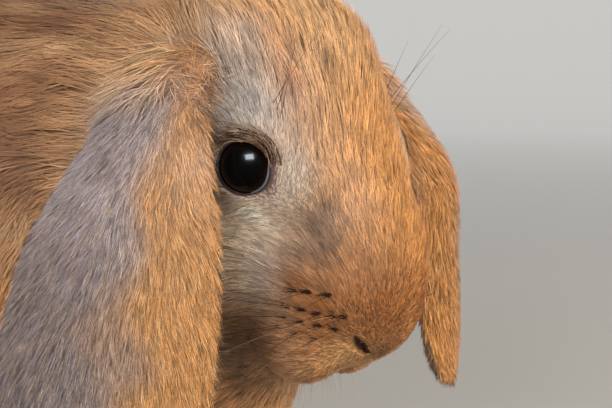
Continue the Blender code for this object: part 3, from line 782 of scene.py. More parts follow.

# %% [markdown]
# ## Markings
# The coat is fawn: orange on the bridge, the chest and the front of the ears, ash above the eyes and in front
# of them, cream on the cheeks, rust on the muzzle, honey under the nostrils, lilac on the back of the ears,
# sooty on the jaw and in a dot round the root of each whisker. Some of it is painted shade: the ash round the
# eye is darkened, a grey patch on the side of the nose is painted shadow, the lilac is partly painted cool
# shade and darkens towards the ear's tip, the ear's edge by its root holds a painted shadow, and the coat grows
# more dusky towards the top of the back. On the head each marking is a soft spot with a place, a reach, a
# colour and a strength, laid over the last one. Colours are given as they look on a screen and changed to light.

# %% Where the whiskers grow
WHISKER_PAD = mm(4, 44, -16)
WHISKER_ROWS = (
    ((24.1, 49.3, -2.4), (26.3, 44.9, -6.9), (27.2, 41.7, -11.1)),
    ((20.1, 57.2, -4.2), (21.8, 55.3, -6.6), (23.9, 52, -9.6), (25.6, 48, -13.5), (27, 44, -17.5)),
    ((19.5, 58, -10), (22.5, 54.5, -13), (24.8, 50.5, -17), (26.3, 46, -21.5)),
    ((20.5, 55.5, -17.5), (23, 51.5, -21), (25, 47, -25.5)),
)
WHISKERS = []
for side in SIDES:
    start = on_side(WHISKER_PAD, side)
    for row, places in enumerate(WHISKER_ROWS):
        for column, place in enumerate(places):
            WHISKERS.append((side, row, column, on_skin(start, on_side(mm(*place), side) - start)))

# %% Colours of the coat


def screen(red, green, blue):
    """A colour as seen on a screen, from 0 to 255, as amounts of light."""
    share = np.array((red, green, blue)) / 255
    return np.where(share > 0.04045, ((share + 0.055) / 1.055) ** 2.4, share / 12.92)


FAWN = screen(212, 156, 106)
PEACH = screen(232, 192, 146)
ORANGE = screen(220, 156, 92)
RUST = screen(170, 98, 38)
HONEY = screen(236, 178, 114)
CREAM = screen(234, 212, 188)
ASH = screen(204, 190, 178)
SHADOW_GREY = screen(112, 94, 84)
SOOTY = screen(100, 70, 48)
DUSKY = screen(136, 94, 66)
LILAC_AND_SHADE = screen(198, 189, 197)
UNDERCOAT = screen(128, 104, 88)
LID_PINK = screen(132, 98, 90)
LID_EDGE = screen(40, 28, 26)
NOSE_PINK = screen(110, 66, 54)

# Places and reaches are in millimetres in the head's own axes.
HEAD_MARKINGS = (
    ((0, -26, 36), 32, PEACH, 0.6),
    ((0, 18, 27), 24, ORANGE, 0.7),
    ((0, 46, 12), 24, ORANGE, 0.9),
    ((27, -2, 25), 12, ORANGE, 0.8),
    ((22, -26, 31), 12, ORANGE, 0.5),
    # The first three ash spots, round the eye, are the coat's pale grey darkened as painted shade.
    ((38, -12, 14), 19, ASH * 0.66, 0.95),
    ((42, -22, 8), 16, ASH * 0.75, 0.8),
    ((33, 14, 13), 11, ASH * 0.76, 0.95),
    ((37, 16, -7), 17, CREAM, 0.9),
    ((36, 26, -20), 17, CREAM, 0.85),
    ((30, 34, -20), 11, ASH, 0.6),
    ((44, -6, -22), 24, CREAM, 0.6),
    ((26.5, -9, 28), 5, RUST, 0.8),
    ((26, -20, 31), 5, RUST, 0.6),
    # A grey patch on the side of the nose is painted shadow.
    ((25, 31, 10), 7, SHADOW_GREY, 0.95),
    ((24.5, 38, 5), 6, SHADOW_GREY, 0.75),
    ((27, 37, -2), 8, SHADOW_GREY, 0.45),
    ((10, 60, 2), 15, RUST, 0.9),
    ((20, 52, -12), 15, RUST, 0.8),
    ((27, 42, -9), 5, RUST, 0.7),
    ((20, 41, -48), 18, SOOTY, 0.82),
    ((32, 30, -38), 12, SOOTY, 0.7),
    ((24, 50, -34), 12, DUSKY, 0.8),
    ((16, 50, 11), 12, DUSKY, 0.45),
    ((13.1, 65.6, -15.5), 6, HONEY, 1.0),
    ((12, 65.6, -20), 6, HONEY, 1.0),
    ((0, 30, -64), 20, CREAM, 0.6),
)


def ripple(points, wavelength, seed):
    """A smooth random value, mostly between -1 and 1, made of a few plane waves."""
    draw = np.random.default_rng(seed)
    waves = unit(draw.normal(size=(9, 3))) * 2 * pi / wavelength * draw.uniform(0.7, 1.4, (9, 1))
    return np.sin(points @ waves.T + draw.uniform(0, 2 * pi, 9)).sum(axis=1) / 3


def over(tint, colour, weight):
    return tint + (colour - tint) * np.clip(weight, 0, 1)[:, None]


def coat_colour():
    tint = np.tile(FAWN, (count, 1))
    for place, reach, colour, strength in HEAD_MARKINGS:
        spot = np.exp(-((distance_from(own, mm(*place)) / mm(reach)) ** 2))
        tint = over(tint, colour, strength * spot * HEAD)
    tint = over(tint, DUSKY * 0.7, 0.6 * BROW)
    streaks = ripple(unit(own - NOSE_TIP), 0.085, 8) + 0.7 * ripple(unit(own - NOSE_TIP), 0.04, 9)
    tint *= (1 + 0.13 * streaks * HEAD)[:, None]
    for _, row, _, place in WHISKERS:
        dot = 1 - rise(distance_from(PLACES, place), mm(0.5), mm(1.3))
        tint = over(tint, SOOTY * 0.2, (0.9 - 0.2 * row) * dot * HEAD)
    chest = FRONT * (1 - rise(PLACES[:, 2], mm(90), mm(150)))
    tint = over(tint, ORANGE * 1.08, 0.75 * chest)
    bands = 0.45 * ripple(PLACES * (1, 0.3, 1), mm(16), 3) + 0.4 * ripple(PLACES, mm(50), 4)
    ear_roots = [EARS[side][0][0].mean(axis=0) for side in SIDES]
    from_ears = np.min([distance_from(PLACES, place) for place in ear_roots], axis=0)
    neck = rest * (1 - rise(from_ears, mm(35), mm(90)))
    bands += 0.9 * neck * ripple(PLACES * (1, 0.5, 0.9), mm(18), 10)
    # Higher on the body the coat is made more dusky: painted shade on the top of the back and neck.
    high = rise(PLACES[:, 2], mm(120), mm(190))
    tint = over(tint, DUSKY, rest * (1 - chest) * (0.6 + 0.25 * high + 0.2 * bands))
    tint = over(tint, PEACH, rest * (1 - chest) * -0.24 * bands)
    tint = over(tint, CREAM, 0.8 * BELLY)
    tint = over(tint, CREAM, 0.9 * TAIL_PART)
    tint = over(tint, CREAM, 0.35 * FEET)
    # The back of the outer ear is lilac: partly the coat's own colour, partly painted cool shade. Towards the tip
    # it is darkened further as painted shade.
    parting_and_shade_edge = EAR_ACROSS + 0.12 * ripple(PLACES, mm(30), 7) + 0.25 * (1 - rise(EAR_SHARE, 0.25, 0.5))
    rear = rise(parting_and_shade_edge, -0.52, 0.14) * rise(EAR_SHARE, 0.15, 0.34)
    tint = over(tint, ORANGE, 0.8 * OUTER * (1 - rear) * (1 - 0.6 * SWEPT))
    tint = over(tint, LILAC_AND_SHADE, 0.8 * OUTER * rear)
    tint *= (1 - 0.46 * OUTER * rear * rise(EAR_SHARE, 0.5, 0.74))[:, None]
    tint = over(tint, PEACH, 0.4 * SWEPT)
    tint = over(tint, RUST, 0.25 * OUTER * (PLACES[:, 0] > 0))
    tint = over(tint, RUST, 0.45 * CURLY * (1 - rear))
    # Along one edge of the ear near its root, beside the head, the coat is darkened: a painted shadow of the
    # crease.
    crease_shadow = OUTER * (1 - rise(EAR_SHARE, 0.3, 0.42)) * (1 - rise(EAR_ACROSS, -0.95, -0.6))
    tint *= (1 - 0.6 * crease_shadow)[:, None]
    return np.clip(over(tint, CREAM, 0.5 * INNER), 0, 0.9)


COLOUR = coat_colour()

# %% [markdown]
# ## The coat
# Real fur is made of locks: fine hairs that lean together, dark at the root and pale at the tip. Here each
# lock is a thin closed spindle with three sides. On the body it leaves the skin steeply, bends over and ends in
# a point. Where the fur is short, it is straight. Tufts
# near each other share a leader and lean towards it, which opens the small dark partings that make fur look
# soft. A lock is lit as the skin under it would be, with normals that lean only a little to its sides, since
# fine hairs scatter light over one another. All tufts of a part are computed at once as arrays.

# %% Roots
SEED = 11
draw = np.random.default_rng(SEED)


def scatter(density):
    """Roots over the skin: the triangle of each, and its weights for the triangle's corners."""
    expected = AREAS * density[TRIANGLES].mean(axis=1)
    total = int(expected.sum())
    picks = np.searchsorted(np.cumsum(expected), (np.arange(total) + draw.random(total)) / total * expected.sum())
    picks = np.minimum(picks, len(TRIANGLES) - 1)
    a, b = draw.random((2, total))
    a, b = np.where(a + b > 1, 1 - a, a), np.where(a + b > 1, 1 - b, b)
    return picks, np.column_stack((1 - a - b, a, b))


def at_roots(values, picks, weights):
    found = values[TRIANGLES[picks]]
    return np.einsum("nk,nk...->n...", weights, found)


picks, weights = scatter(DENSITY)
print("the coat has", len(picks), "tufts")


def read(values):
    return at_roots(values, picks, weights)


root, normal, lie = read(PLACES), unit(read(NORMALS)), unit(read(LIE))
length, depth, width, tint = read(LENGTH), read(DEPTH), read(WIDTH), read(COLOUR)
root_uv = np.einsum("nk,nkc->nc", weights, UNWRAP[TRIANGLE_LOOPS[picks]])
on_ear, on_head, ear_share, ear_face = read(EAR), read(HEAD), read(EAR_SHARE), read(EAR_FACE)
on_cheek, on_tail, on_feet = read(CHEEK), read(TAIL_PART), read(FEET)
on_body = 1 - np.clip(on_ear + on_head, 0, 1)

# %% Locks that lean together
LEADER_SHARE = 1 / 11
is_leader = draw.random(len(root)) < LEADER_SHARE
leaders = np.flatnonzero(is_leader)
tree = KDTree(len(leaders))
for i, leader in enumerate(leaders):
    tree.insert(root[leader] + normal[leader] * mm(3), i)
tree.balance()
nearest = np.array([tree.find(place)[1] for place in root + normal * mm(3)])
towards_leader = root[leaders][nearest] - root
reach = np.linalg.norm(towards_leader, axis=1, keepdims=True)
towards_leader *= np.minimum(1, 0.6 * length[:, None] / (reach + 1e-9))
print("in", len(leaders), "locks")

curly, swept = read(CURLY), read(SWEPT)
lock_turn = draw.normal(size=len(leaders))[nearest] * (0.07 + 0.05 * on_body + 0.8 * curly + 0.15 * swept)
own_turn = draw.normal(size=len(root)) * (0.07 + 0.03 * on_body + 0.55 * curly)
wander = 0.16 * ripple(root, mm(22), 5) * (1 - 0.4 * on_ear) + 0.4 * ripple(root, mm(46), 6) * on_body
turn = lock_turn + own_turn + wander
across = np.cross(normal, lie)
lie = lie * np.cos(turn)[:, None] + across * np.sin(turn)[:, None]
across = np.cross(normal, lie)
height = draw.uniform(0.72, 1.12, len(root)) * (1 + 0.1 * draw.normal(size=len(leaders))[nearest])
length = length * draw.uniform(0.75, 1.15, len(root))
lift = np.arcsin(np.clip(depth / length * height, 0.04, 0.9))

# %% Tints of the locks
on_muzzle = read(MUZZLE)
lock_light = draw.normal(size=len(leaders))[nearest] * (0.12 + 0.03 * on_ear + 0.03 * on_head)
on_brow = read(BROW)
own_light = draw.normal(size=len(root))
own_light *= 0.1 + 0.18 * on_ear + 0.2 * on_head + 0.26 * on_muzzle + 0.2 * on_brow
light = np.clip(1 + lock_light + own_light, 0.35, 1.7)
ticked = draw.random(len(root)) < 0.03 + 0.16 * on_ear * (ear_face > 0) + 0.05 * on_body + 0.2 * on_muzzle
speckled = draw.random(len(root)) < 0.28 * on_muzzle * (read(own[:, 2]) > mm(-12))
light = np.where(speckled, 0.16, light)[:, None]
warm = (draw.random(len(root)) < 0.2) * on_ear * (ear_face > 0)
tint = over(tint, PEACH * 0.9, 0.75 * warm)
TIPS = np.where(ticked[:, None], over(tint, SOOTY * 0.6, np.full(len(root), 0.8)), tint * 1.1) * light
MIDDLES = tint * light
ROOTS = over(tint * 0.86, UNDERCOAT * 0.8, np.full(len(root), 0.25)) * light

# %% Tufts as meshes
SUNK = mm(0.3)
PATCH = 0.0015
CLEARANCE = mm(0.3)
KNEE_SHARE = 0.42
BENDS = 1.5, 0.65
PULLS = 0.3, 0.7
FLATNESS = 0.5
SECTION = np.radians((-30, 90, 210))
# Across each tuft the ridge is painted lighter and the two sides darker: painted shading of a round lock.
SECTION_SHADING = np.array((0.88, 1.1, 0.94))
ROLL = 0.3
ROUNDNESS = 0.25
PATCHES = {
    "straight": np.array(((-1, -1), (0, -0.6), (1, -1), (0, 1))),
    "bent": np.array(((0, -1), (-1, 0), (0, 0.3), (1, 0), (0, 1))),
}
FACES = {
    "straight": np.array(((0, 2, 1), (0, 1, 3), (1, 2, 3), (2, 0, 3))),
    "bent": np.array(((0, 2, 1), (0, 3, 2), (0, 1, 3), (1, 2, 4), (2, 3, 4), (3, 1, 4))),
}


def tuft_points(chosen, shape):
    """Points, normals and colours. A straight tuft is a ring and a tip, a bent one root, ring and tip."""
    up, flat, side_way = normal[chosen], lie[chosen], across[chosen]
    long, pull = length[chosen][:, None], towards_leader[chosen]
    girth = width[chosen][:, None] / 2
    roll = draw.normal(size=(len(chosen), 1)) * ROLL
    sway = draw.normal(size=(len(chosen), 1)) * 0.07 * side_way * long
    angles = [(lift[chosen] * bend)[:, None] for bend in ((1,) if shape == "straight" else BENDS)]
    ways = [flat * np.cos(angle) + up * np.sin(angle) for angle in angles]
    start = root[chosen] - up * SUNK
    if shape == "straight":
        middle, tip = start, root[chosen] + ways[0] * long + sway + pull * PULLS[1]
        points, facing, colours, shade = [], [], [], ROOTS[chosen]
    else:
        middle = root[chosen] + ways[0] * long * KNEE_SHARE - sway * 0.5 + pull * PULLS[0]
        tip = middle + ways[1] * long * (1 - KNEE_SHARE) + sway + pull * (PULLS[1] - PULLS[0])
        points, facing, colours, shade = [start], [up], [ROOTS[chosen]], MIDDLES[chosen]
    lifted = np.cross(ways[0], side_way)
    # The colours at the three corners carry that painted shading: sides darker, ridge lighter.
    for corner, light in zip(SECTION, SECTION_SHADING):
        out = side_way * np.cos(corner + roll) + FLATNESS * lifted * np.sin(corner + roll)
        points.append(middle + girth * out)
        facing.append(up + ROUNDNESS * out)
        colours.append(shade * light)
    points = np.stack([*points, tip], axis=1)
    points[..., 2] = np.maximum(points[..., 2], CLEARANCE)
    return points, unit(np.stack([*facing, up], axis=1)), np.stack([*colours, TIPS[chosen]], axis=1)


def coat_piece(name, chosen, shape, material):
    """One object from the chosen tufts, with their colours and their places on the skin's unwrap."""
    points, facing, colours = tuft_points(chosen, shape)
    faces = FACES[shape][None] + np.arange(len(chosen))[:, None, None] * points.shape[1]
    made = mesh_of(name, points.reshape(-1, 3) + SHIFT, faces.reshape(-1, 3))
    paint = made.data.color_attributes.new("fur", "FLOAT_COLOR", "POINT")
    rows = np.column_stack((colours.reshape(-1, 3), np.ones(points.size // 3)))
    paint.data.foreach_set("color", rows.astype(np.float32).ravel())
    spots = root_uv[chosen][:, None] + PATCHES[shape] * PATCH
    layer = made.data.uv_layers.new(name="OFBake")
    layer.data.foreach_set("uv", spots.reshape(-1, 2)[faces.ravel()].astype(np.float32).ravel())
    made.data.shade_smooth()
    made.data.normals_split_custom_set_from_vertices(facing.reshape(-1, 3).astype(np.float32))
    made.data.materials.append(material)
    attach(made, "root")
    return made


# %% [markdown]
# ## Finishes of coat and skin
# The colour of each lock is stored on its points, so one material serves the whole coat. Hair is a little
# glossy along its length and soft across it, which a rough surface with some sheen comes close to.

# %% Materials of the coat and the skin


def material_of(name, roughness, **sockets):
    made = bpy.data.materials.new(name)
    made.use_nodes = True
    shader = made.node_tree.nodes["Principled BSDF"]
    shader.inputs["Roughness"].default_value = roughness
    for socket, value in sockets.items():
        shader.inputs[socket.replace("_", " ")].default_value = value
    return made, made.node_tree, shader


def painted(name, attribute, grain, low, high, roughness, **sockets):
    """A finish whose colour is stored on the points, broken up by a fine grain."""
    made, nodes, shader = material_of(name, roughness, **sockets)
    colour = nodes.nodes.new("ShaderNodeAttribute")
    colour.attribute_name = attribute
    noise = nodes.nodes.new("ShaderNodeTexNoise")
    noise.inputs["Scale"].default_value = grain
    noise.inputs["Detail"].default_value = 3
    where = nodes.nodes.new("ShaderNodeTexCoord")
    spread = nodes.nodes.new("ShaderNodeMapRange")
    spread.inputs["To Min"].default_value = low
    spread.inputs["To Max"].default_value = high
    mix = nodes.nodes.new("ShaderNodeVectorMath")
    mix.operation = "SCALE"
    nodes.links.new(where.outputs["Object"], noise.inputs["Vector"])
    nodes.links.new(noise.outputs["Fac"], spread.inputs["Value"])
    nodes.links.new(colour.outputs["Color"], mix.inputs[0])
    nodes.links.new(spread.outputs["Result"], mix.inputs["Scale"])
    nodes.links.new(mix.outputs["Vector"], shader.inputs["Base Color"])
    return made, nodes, shader, noise


dull = {"Specular_IOR_Level": 0.2}
coat_finish = painted("coat", "fur", 900, 0.8, 1.2, 0.5, Sheen_Weight=0.12, Sheen_Roughness=0.4, **dull)[0]
skin_finish, nodes, shader, noise = painted("skin", "fur", 1400, 0.8, 1.15, 0.6, **dull)
bump = nodes.nodes.new("ShaderNodeBump")
bump.inputs["Distance"].default_value = 0.0002
bump.inputs["Strength"].default_value = 0.6
nodes.links.new(noise.outputs["Fac"], bump.inputs["Height"])
nodes.links.new(bump.outputs["Normal"], shader.inputs["Normal"])

# %% Coat pieces
MOST_TRIANGLES = 190_000
RIGHT_SIDE = root[:, 0] < 0
REGIONS = {
    "locks_over_ears": swept > 0.3,
    "tail": on_tail > 0.3,
    "feet": on_feet > 0.5,
    "face_right": (on_head > 0.5) & RIGHT_SIDE,
    "face_left": (on_head > 0.5) & ~RIGHT_SIDE,
    "ear_right": (on_ear > 0.5) & RIGHT_SIDE,
    "ear_left": (on_ear > 0.5) & ~RIGHT_SIDE,
    "body_right": RIGHT_SIDE,
    "body_left": ~RIGHT_SIDE,
}
taken = np.zeros(len(root), bool)
total = 0
for word, inside in REGIONS.items():
    inside = inside & ~taken
    taken |= inside
    shape = "straight" if word.startswith(("face", "ear", "feet")) else "bent"
    chosen = np.flatnonzero(inside)
    chosen = chosen[np.argsort(root[chosen, 1])]
    each = len(FACES[shape])
    parts = ceil(len(chosen) * each / MOST_TRIANGLES)
    for number, some in enumerate(np.array_split(chosen, parts), 1):
        name = f"coat_{word}" + (f"_{number}" if parts > 1 else "")
        coat_piece(name, some, shape, coat_finish)
        total += len(some) * each
        print(name, len(some), "tufts")
print("coat:", total, "triangles")

# %% The skin's colour
pink = (1 - rise(beside, mm(0.8), mm(2.2))) * (1 - EAR)
skin_colour = over(COLOUR * (0.62 + 0.2 * rest)[:, None], UNDERCOAT * 0.7, 0.35 - 0.15 * rest)
skin_colour = over(skin_colour, LID_PINK * 0.7, pink)
# Inside the nostrils the skin is darkened almost to black: its own dark pink, and painted shade in the slit.
skin_colour = over(skin_colour, NOSE_PINK * 0.08, 1 - rise(nostrils, mm(-0.2), mm(0.6)))
paint = skin.data.color_attributes.new("fur", "FLOAT_COLOR", "POINT")
rows = np.column_stack((skin_colour, np.ones(count)))
paint.data.foreach_set("color", rows.astype(np.float32).ravel())
skin.data.transform(Matrix.Translation(SHIFT))
skin.data.materials.clear()
skin.data.materials.append(skin_finish)
skin.data.polygons.foreach_set("material_index", np.zeros(len(skin.data.polygons), np.int32))
skin.data.shade_smooth()
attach(skin, "root")
flesh = ["head", "neck", "torso", "tail"]
flesh += [f"{part}_{word}" for part in ("ear", "foreleg", "haunch", "hindfoot") for word in SIDES.values()]
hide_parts(*flesh)

# %% [markdown]
# ## Eyes
# A rabbit's eye is a dark ball set at the side of the head, almost all iris and pupil where it shows. The
# clear front stands out a little from the ball. Lids with a thin dark edge lie on it, and at its front corner
# the third lid shows as a grey, wet crescent.

# %% Eyeballs
EYE_MESH = 72, 48
CORNEA = radians(50)
CORNEA_RISE = mm(0.55)


def around_eye(side, distance, angle, turn):
    """A point by its distance from the eye's centre, its angle from the axis and its turn round it."""
    centre, axis, forward, up = eye_frame(side)
    out = np.cos(turn)[..., None] * forward + np.sin(turn)[..., None] * up
    return centre + distance[..., None] * (np.cos(angle)[..., None] * axis + np.sin(angle)[..., None] * out)


def finish_mesh(made, material):
    """Faces out, poles closed, then material and body."""
    shape = bmesh.new()
    shape.from_mesh(made.data)
    bmesh.ops.remove_doubles(shape, verts=shape.verts, dist=1e-6)
    bmesh.ops.recalc_face_normals(shape, faces=shape.faces)
    shape.to_mesh(made.data)
    shape.free()
    made.data.shade_smooth()
    made.data.materials.clear()
    made.data.materials.append(material)
    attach(made, "root")
    return made


def paint_points(made, name, values):
    layer = made.data.attributes.new(name, "FLOAT", "POINT")
    layer.data.foreach_set("value", np.asarray(values, np.float32).ravel())


eye_sockets = {"Specular_IOR_Level": 0.1, "Coat_Weight": 0.13, "Coat_Roughness": 0.045}
eye_finish, nodes, shader = material_of("eye_wet", 0.24, **eye_sockets)
angle_at = nodes.nodes.new("ShaderNodeAttribute")
angle_at.attribute_name = "from_axis"
ramp = nodes.nodes.new("ShaderNodeValToRGB")
ramp.color_ramp.elements[0].position = 0.0
ramp.color_ramp.elements[0].color = (0.002, 0.002, 0.002, 1)
ramp.color_ramp.elements[1].position = 1.0
ramp.color_ramp.elements[1].color = (0.3, 0.2, 0.17, 1)
IRIS = (
    (0.4, (0.002, 0.002, 0.002)),
    (0.62, (0.006, 0.003, 0.002)),
    (0.76, (0.003, 0.002, 0.002)),
    (0.88, (0.02, 0.013, 0.012)),
)
for position, colour in IRIS:
    element = ramp.color_ramp.elements.new(position)
    element.color = (*colour, 1)
rays = nodes.nodes.new("ShaderNodeTexNoise")
rays.inputs["Scale"].default_value = 700
where = nodes.nodes.new("ShaderNodeTexCoord")
wobble = nodes.nodes.new("ShaderNodeMath")
wobble.operation = "MULTIPLY_ADD"
wobble.inputs[1].default_value = 0.05
nodes.links.new(where.outputs["Object"], rays.inputs["Vector"])
nodes.links.new(rays.outputs["Fac"], wobble.inputs[0])
nodes.links.new(angle_at.outputs["Fac"], wobble.inputs[2])
nodes.links.new(wobble.outputs["Value"], ramp.inputs["Fac"])
nodes.links.new(ramp.outputs["Color"], shader.inputs["Base Color"])

for side, word in SIDES.items():
    columns, rows = EYE_MESH
    from_pole, round_it = np.linspace(1e-4, pi - 1e-4, rows), np.arange(columns) * 2 * pi / columns
    angle, turns = np.meshgrid(from_pole, round_it, indexing="ij")
    bulge = CORNEA_RISE * np.clip(1 - (angle / CORNEA) ** 2, 0, 1) ** 1.2
    places = around_eye(side, EYE_RADIUS + bulge, angle, turns)
    faces = closed_grid(rows, columns)
    made = mesh_of(f"eyeball_{word}", places.reshape(-1, 3) + SHIFT, faces)
    paint_points(made, "from_axis", angle / (pi / 2))
    shape = bmesh.new()
    shape.from_mesh(made.data)
    shape.verts.ensure_lookup_table()
    for ring in (0, rows - 1):
        shape.faces.new([shape.verts[ring * columns + k] for k in range(columns)])
    shape.to_mesh(made.data)
    shape.free()
    finish_mesh(made, eye_finish)
    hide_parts(f"eye_{word}")
    print(made.name, len(made.data.polygons), "faces")

# %% Lids
# Each row of the section is how far out from the ball and how far beyond the edge of the opening, in
# millimetres and in degrees.
LID_SECTION = (
    (0.05, 28),
    (0.07, 14),
    (0.09, 3.5),
    (0.14, 0.9),
    (0.3, 0),
    (0.55, 0.3),
    (0.78, 1.6),
    (0.9, 4),
    (0.92, 7),
    (0.98, 11),
    (0.8, 17),
    (0.2, 23),
    (-0.6, 30),
)
LID_COLUMNS = 120


def lid_finish():
    made, nodes, shader = material_of("lid_skin", 0.5, Subsurface_Weight=0.1, Specular_IOR_Level=0.3)
    edge = nodes.nodes.new("ShaderNodeAttribute")
    edge.attribute_name = "beyond_edge"
    ramp = nodes.nodes.new("ShaderNodeValToRGB")
    ramp.color_ramp.elements[0].color = (*LID_EDGE, 1)
    ramp.color_ramp.elements[1].color = (*(LID_PINK * 0.8), 1)
    ramp.color_ramp.elements[0].position = 0.02
    ramp.color_ramp.elements[1].position = 0.14
    noise = nodes.nodes.new("ShaderNodeTexNoise")
    noise.inputs["Scale"].default_value = 1600
    where = nodes.nodes.new("ShaderNodeTexCoord")
    bump = nodes.nodes.new("ShaderNodeBump")
    bump.inputs["Distance"].default_value = 0.00015
    bump.inputs["Strength"].default_value = 0.7
    nodes.links.new(where.outputs["Object"], noise.inputs["Vector"])
    nodes.links.new(noise.outputs["Fac"], bump.inputs["Height"])
    nodes.links.new(bump.outputs["Normal"], shader.inputs["Normal"])
    nodes.links.new(edge.outputs["Fac"], ramp.inputs["Fac"])
    nodes.links.new(ramp.outputs["Color"], shader.inputs["Base Color"])
    return made


lid_material = lid_finish()
out, beyond = np.array(LID_SECTION).T
for side, word in SIDES.items():
    turns = np.arange(LID_COLUMNS) * 2 * pi / LID_COLUMNS
    distance, turn = np.meshgrid(EYE_RADIUS + mm(1) * out, turns, indexing="ij")
    angle = lid_angle(turn) + np.radians(beyond)[:, None]
    distance = distance + mm(0.08) * np.sin(np.radians(beyond)[:, None] * 40) * (beyond[:, None] > 5)
    places = around_eye(side, distance, angle, turn)
    faces = closed_grid(len(out), LID_COLUMNS, looped_rows=True)
    made = mesh_of(f"lids_{word}", places.reshape(-1, 3) + SHIFT, faces)
    paint_points(made, "beyond_edge", np.broadcast_to(np.maximum(beyond, 0)[:, None] / 30, angle.shape))
    finish_mesh(made, lid_material)

# %% The third lid
TEAR_WIDTH, TEAR_SPAN = radians(5), radians(42)
TEAR_ROWS, TEAR_COLUMNS = 10, 40
TEAR_TURN = radians(14)

tear_material, nodes, shader = material_of("third_lid", 0.18, Subsurface_Weight=0.2, Coat_Weight=0.6)
shader.inputs["Base Color"].default_value = (*screen(100, 96, 106), 1)
for side, word in SIDES.items():
    down_it, over_it = np.linspace(-1, 1, TEAR_COLUMNS), np.linspace(0, 1, TEAR_ROWS)
    share, across_it = np.meshgrid(down_it, over_it, indexing="ij")
    turn = TEAR_TURN + share * TEAR_SPAN
    wide = TEAR_WIDTH * (1 - share**2) ** 0.8
    angle = lid_angle(turn) + radians(4) - (wide + radians(4.2)) * across_it
    thick = mm(0.28) * np.sqrt(np.clip(1 - across_it**4, 0, 1)) + mm(0.02)
    base = EYE_RADIUS + CORNEA_RISE * np.clip(1 - (angle / CORNEA) ** 2, 0, 1) ** 1.2
    outside = around_eye(side, base + thick, angle, turn)
    inside = around_eye(side, base - mm(0.2), angle, turn)[:, ::-1]
    ring = np.concatenate((outside, inside), axis=1)
    faces = closed_grid(TEAR_COLUMNS, 2 * TEAR_ROWS)
    made = mesh_of(f"third_lid_{word}", ring.reshape(-1, 3) + SHIFT, faces)
    shape = bmesh.new()
    shape.from_mesh(made.data)
    bmesh.ops.holes_fill(shape, edges=[edge for edge in shape.edges if edge.is_boundary])
    shape.to_mesh(made.data)
    shape.free()
    finish_mesh(made, tear_material)

# %% [markdown]
# ## Whiskers and brow hairs
# Whiskers are long, springy and taper to nothing. A curve gives the way of each one, and a Geometry Nodes tree
# turns all curves into thin tapering rods: it resamples them, draws a small ring along each, and narrows it
# towards the tip. The result is turned into a plain mesh, because the frame keeps meshes only.

# %% Rods that taper along their paths
ROD_INPUTS = (
    ("Root Radius", "Float", mm(0.16)),
    ("Tip Share", "Float", 0.2),
    ("Steps", "Int", 18),
    ("Sides", "Int", 5),
)


def rod_tree(material):
    """A tree that draws a tapering rod along every curve, with named inputs for its sizes."""
    tree = bpy.data.node_groups.new("tapering_rods", "GeometryNodeTree")
    tree.interface.new_socket("Curves", in_out="INPUT", socket_type="NodeSocketGeometry")
    for name, kind, value in ROD_INPUTS:
        socket = tree.interface.new_socket(name, in_out="INPUT", socket_type=f"NodeSocket{kind}")
        socket.default_value = value
    tree.interface.new_socket("Rods", in_out="OUTPUT", socket_type="NodeSocketGeometry")
    add, link = tree.nodes.new, tree.links.new
    given, result = add("NodeGroupInput"), add("NodeGroupOutput")
    resample, ring = add("GeometryNodeResampleCurve"), add("GeometryNodeCurvePrimitiveCircle")
    along, taper = add("GeometryNodeSplineParameter"), add("ShaderNodeMapRange")
    draw_rod = add("GeometryNodeCurveToMesh")
    real, finish = add("GeometryNodeRealizeInstances"), add("GeometryNodeSetMaterial")
    finish.inputs["Material"].default_value = material
    draw_rod.inputs["Fill Caps"].default_value = True
    link(given.outputs["Curves"], resample.inputs["Curve"])
    link(given.outputs["Steps"], resample.inputs["Count"])
    link(given.outputs["Root Radius"], ring.inputs["Radius"])
    link(given.outputs["Sides"], ring.inputs["Resolution"])
    link(along.outputs["Factor"], taper.inputs["Value"])
    link(given.outputs["Tip Share"], taper.inputs["To Max"])
    taper.inputs["To Min"].default_value = 1
    link(taper.outputs["Result"], draw_rod.inputs["Scale"])
    link(resample.outputs["Curve"], draw_rod.inputs["Curve"])
    link(ring.outputs["Curve"], draw_rod.inputs["Profile Curve"])
    link(draw_rod.outputs["Mesh"], real.inputs["Geometry"])
    link(real.outputs["Geometry"], finish.inputs["Geometry"])
    link(finish.outputs["Geometry"], result.inputs["Rods"])
    return tree


def rods(name, paths, material, radius, tip=0.2, steps=18):
    """A plain mesh with a tapering rod along each path."""
    curve = bpy.data.curves.new(name, "CURVE")
    curve.dimensions = "3D"
    for path in paths:
        spline = curve.splines.new("POLY")
        spline.points.add(len(path) - 1)
        spline.points.foreach_set("co", np.column_stack((path + SHIFT, np.ones(len(path)))).ravel())
    source = bpy.data.objects.new(name + "_paths", curve)
    bpy.context.scene.collection.objects.link(source)
    tree = rod_tree(material)
    modifier = source.modifiers.new("rods", "NODES")
    modifier.node_group = tree
    values = {"Root Radius": radius, "Tip Share": tip, "Steps": steps}
    for item in tree.interface.items_tree:
        if item.in_out == "INPUT" and item.name in values:
            modifier[item.identifier] = values[item.name]
    graph = bpy.context.evaluated_depsgraph_get()
    mesh = bpy.data.meshes.new_from_object(source.evaluated_get(graph))
    made = bpy.data.objects.new(name, mesh)
    bpy.context.scene.collection.objects.link(made)
    bpy.data.objects.remove(source)
    finish_mesh(made, material)
    print(name, len(paths), "rods,", len(mesh.polygons), "faces")
    return made


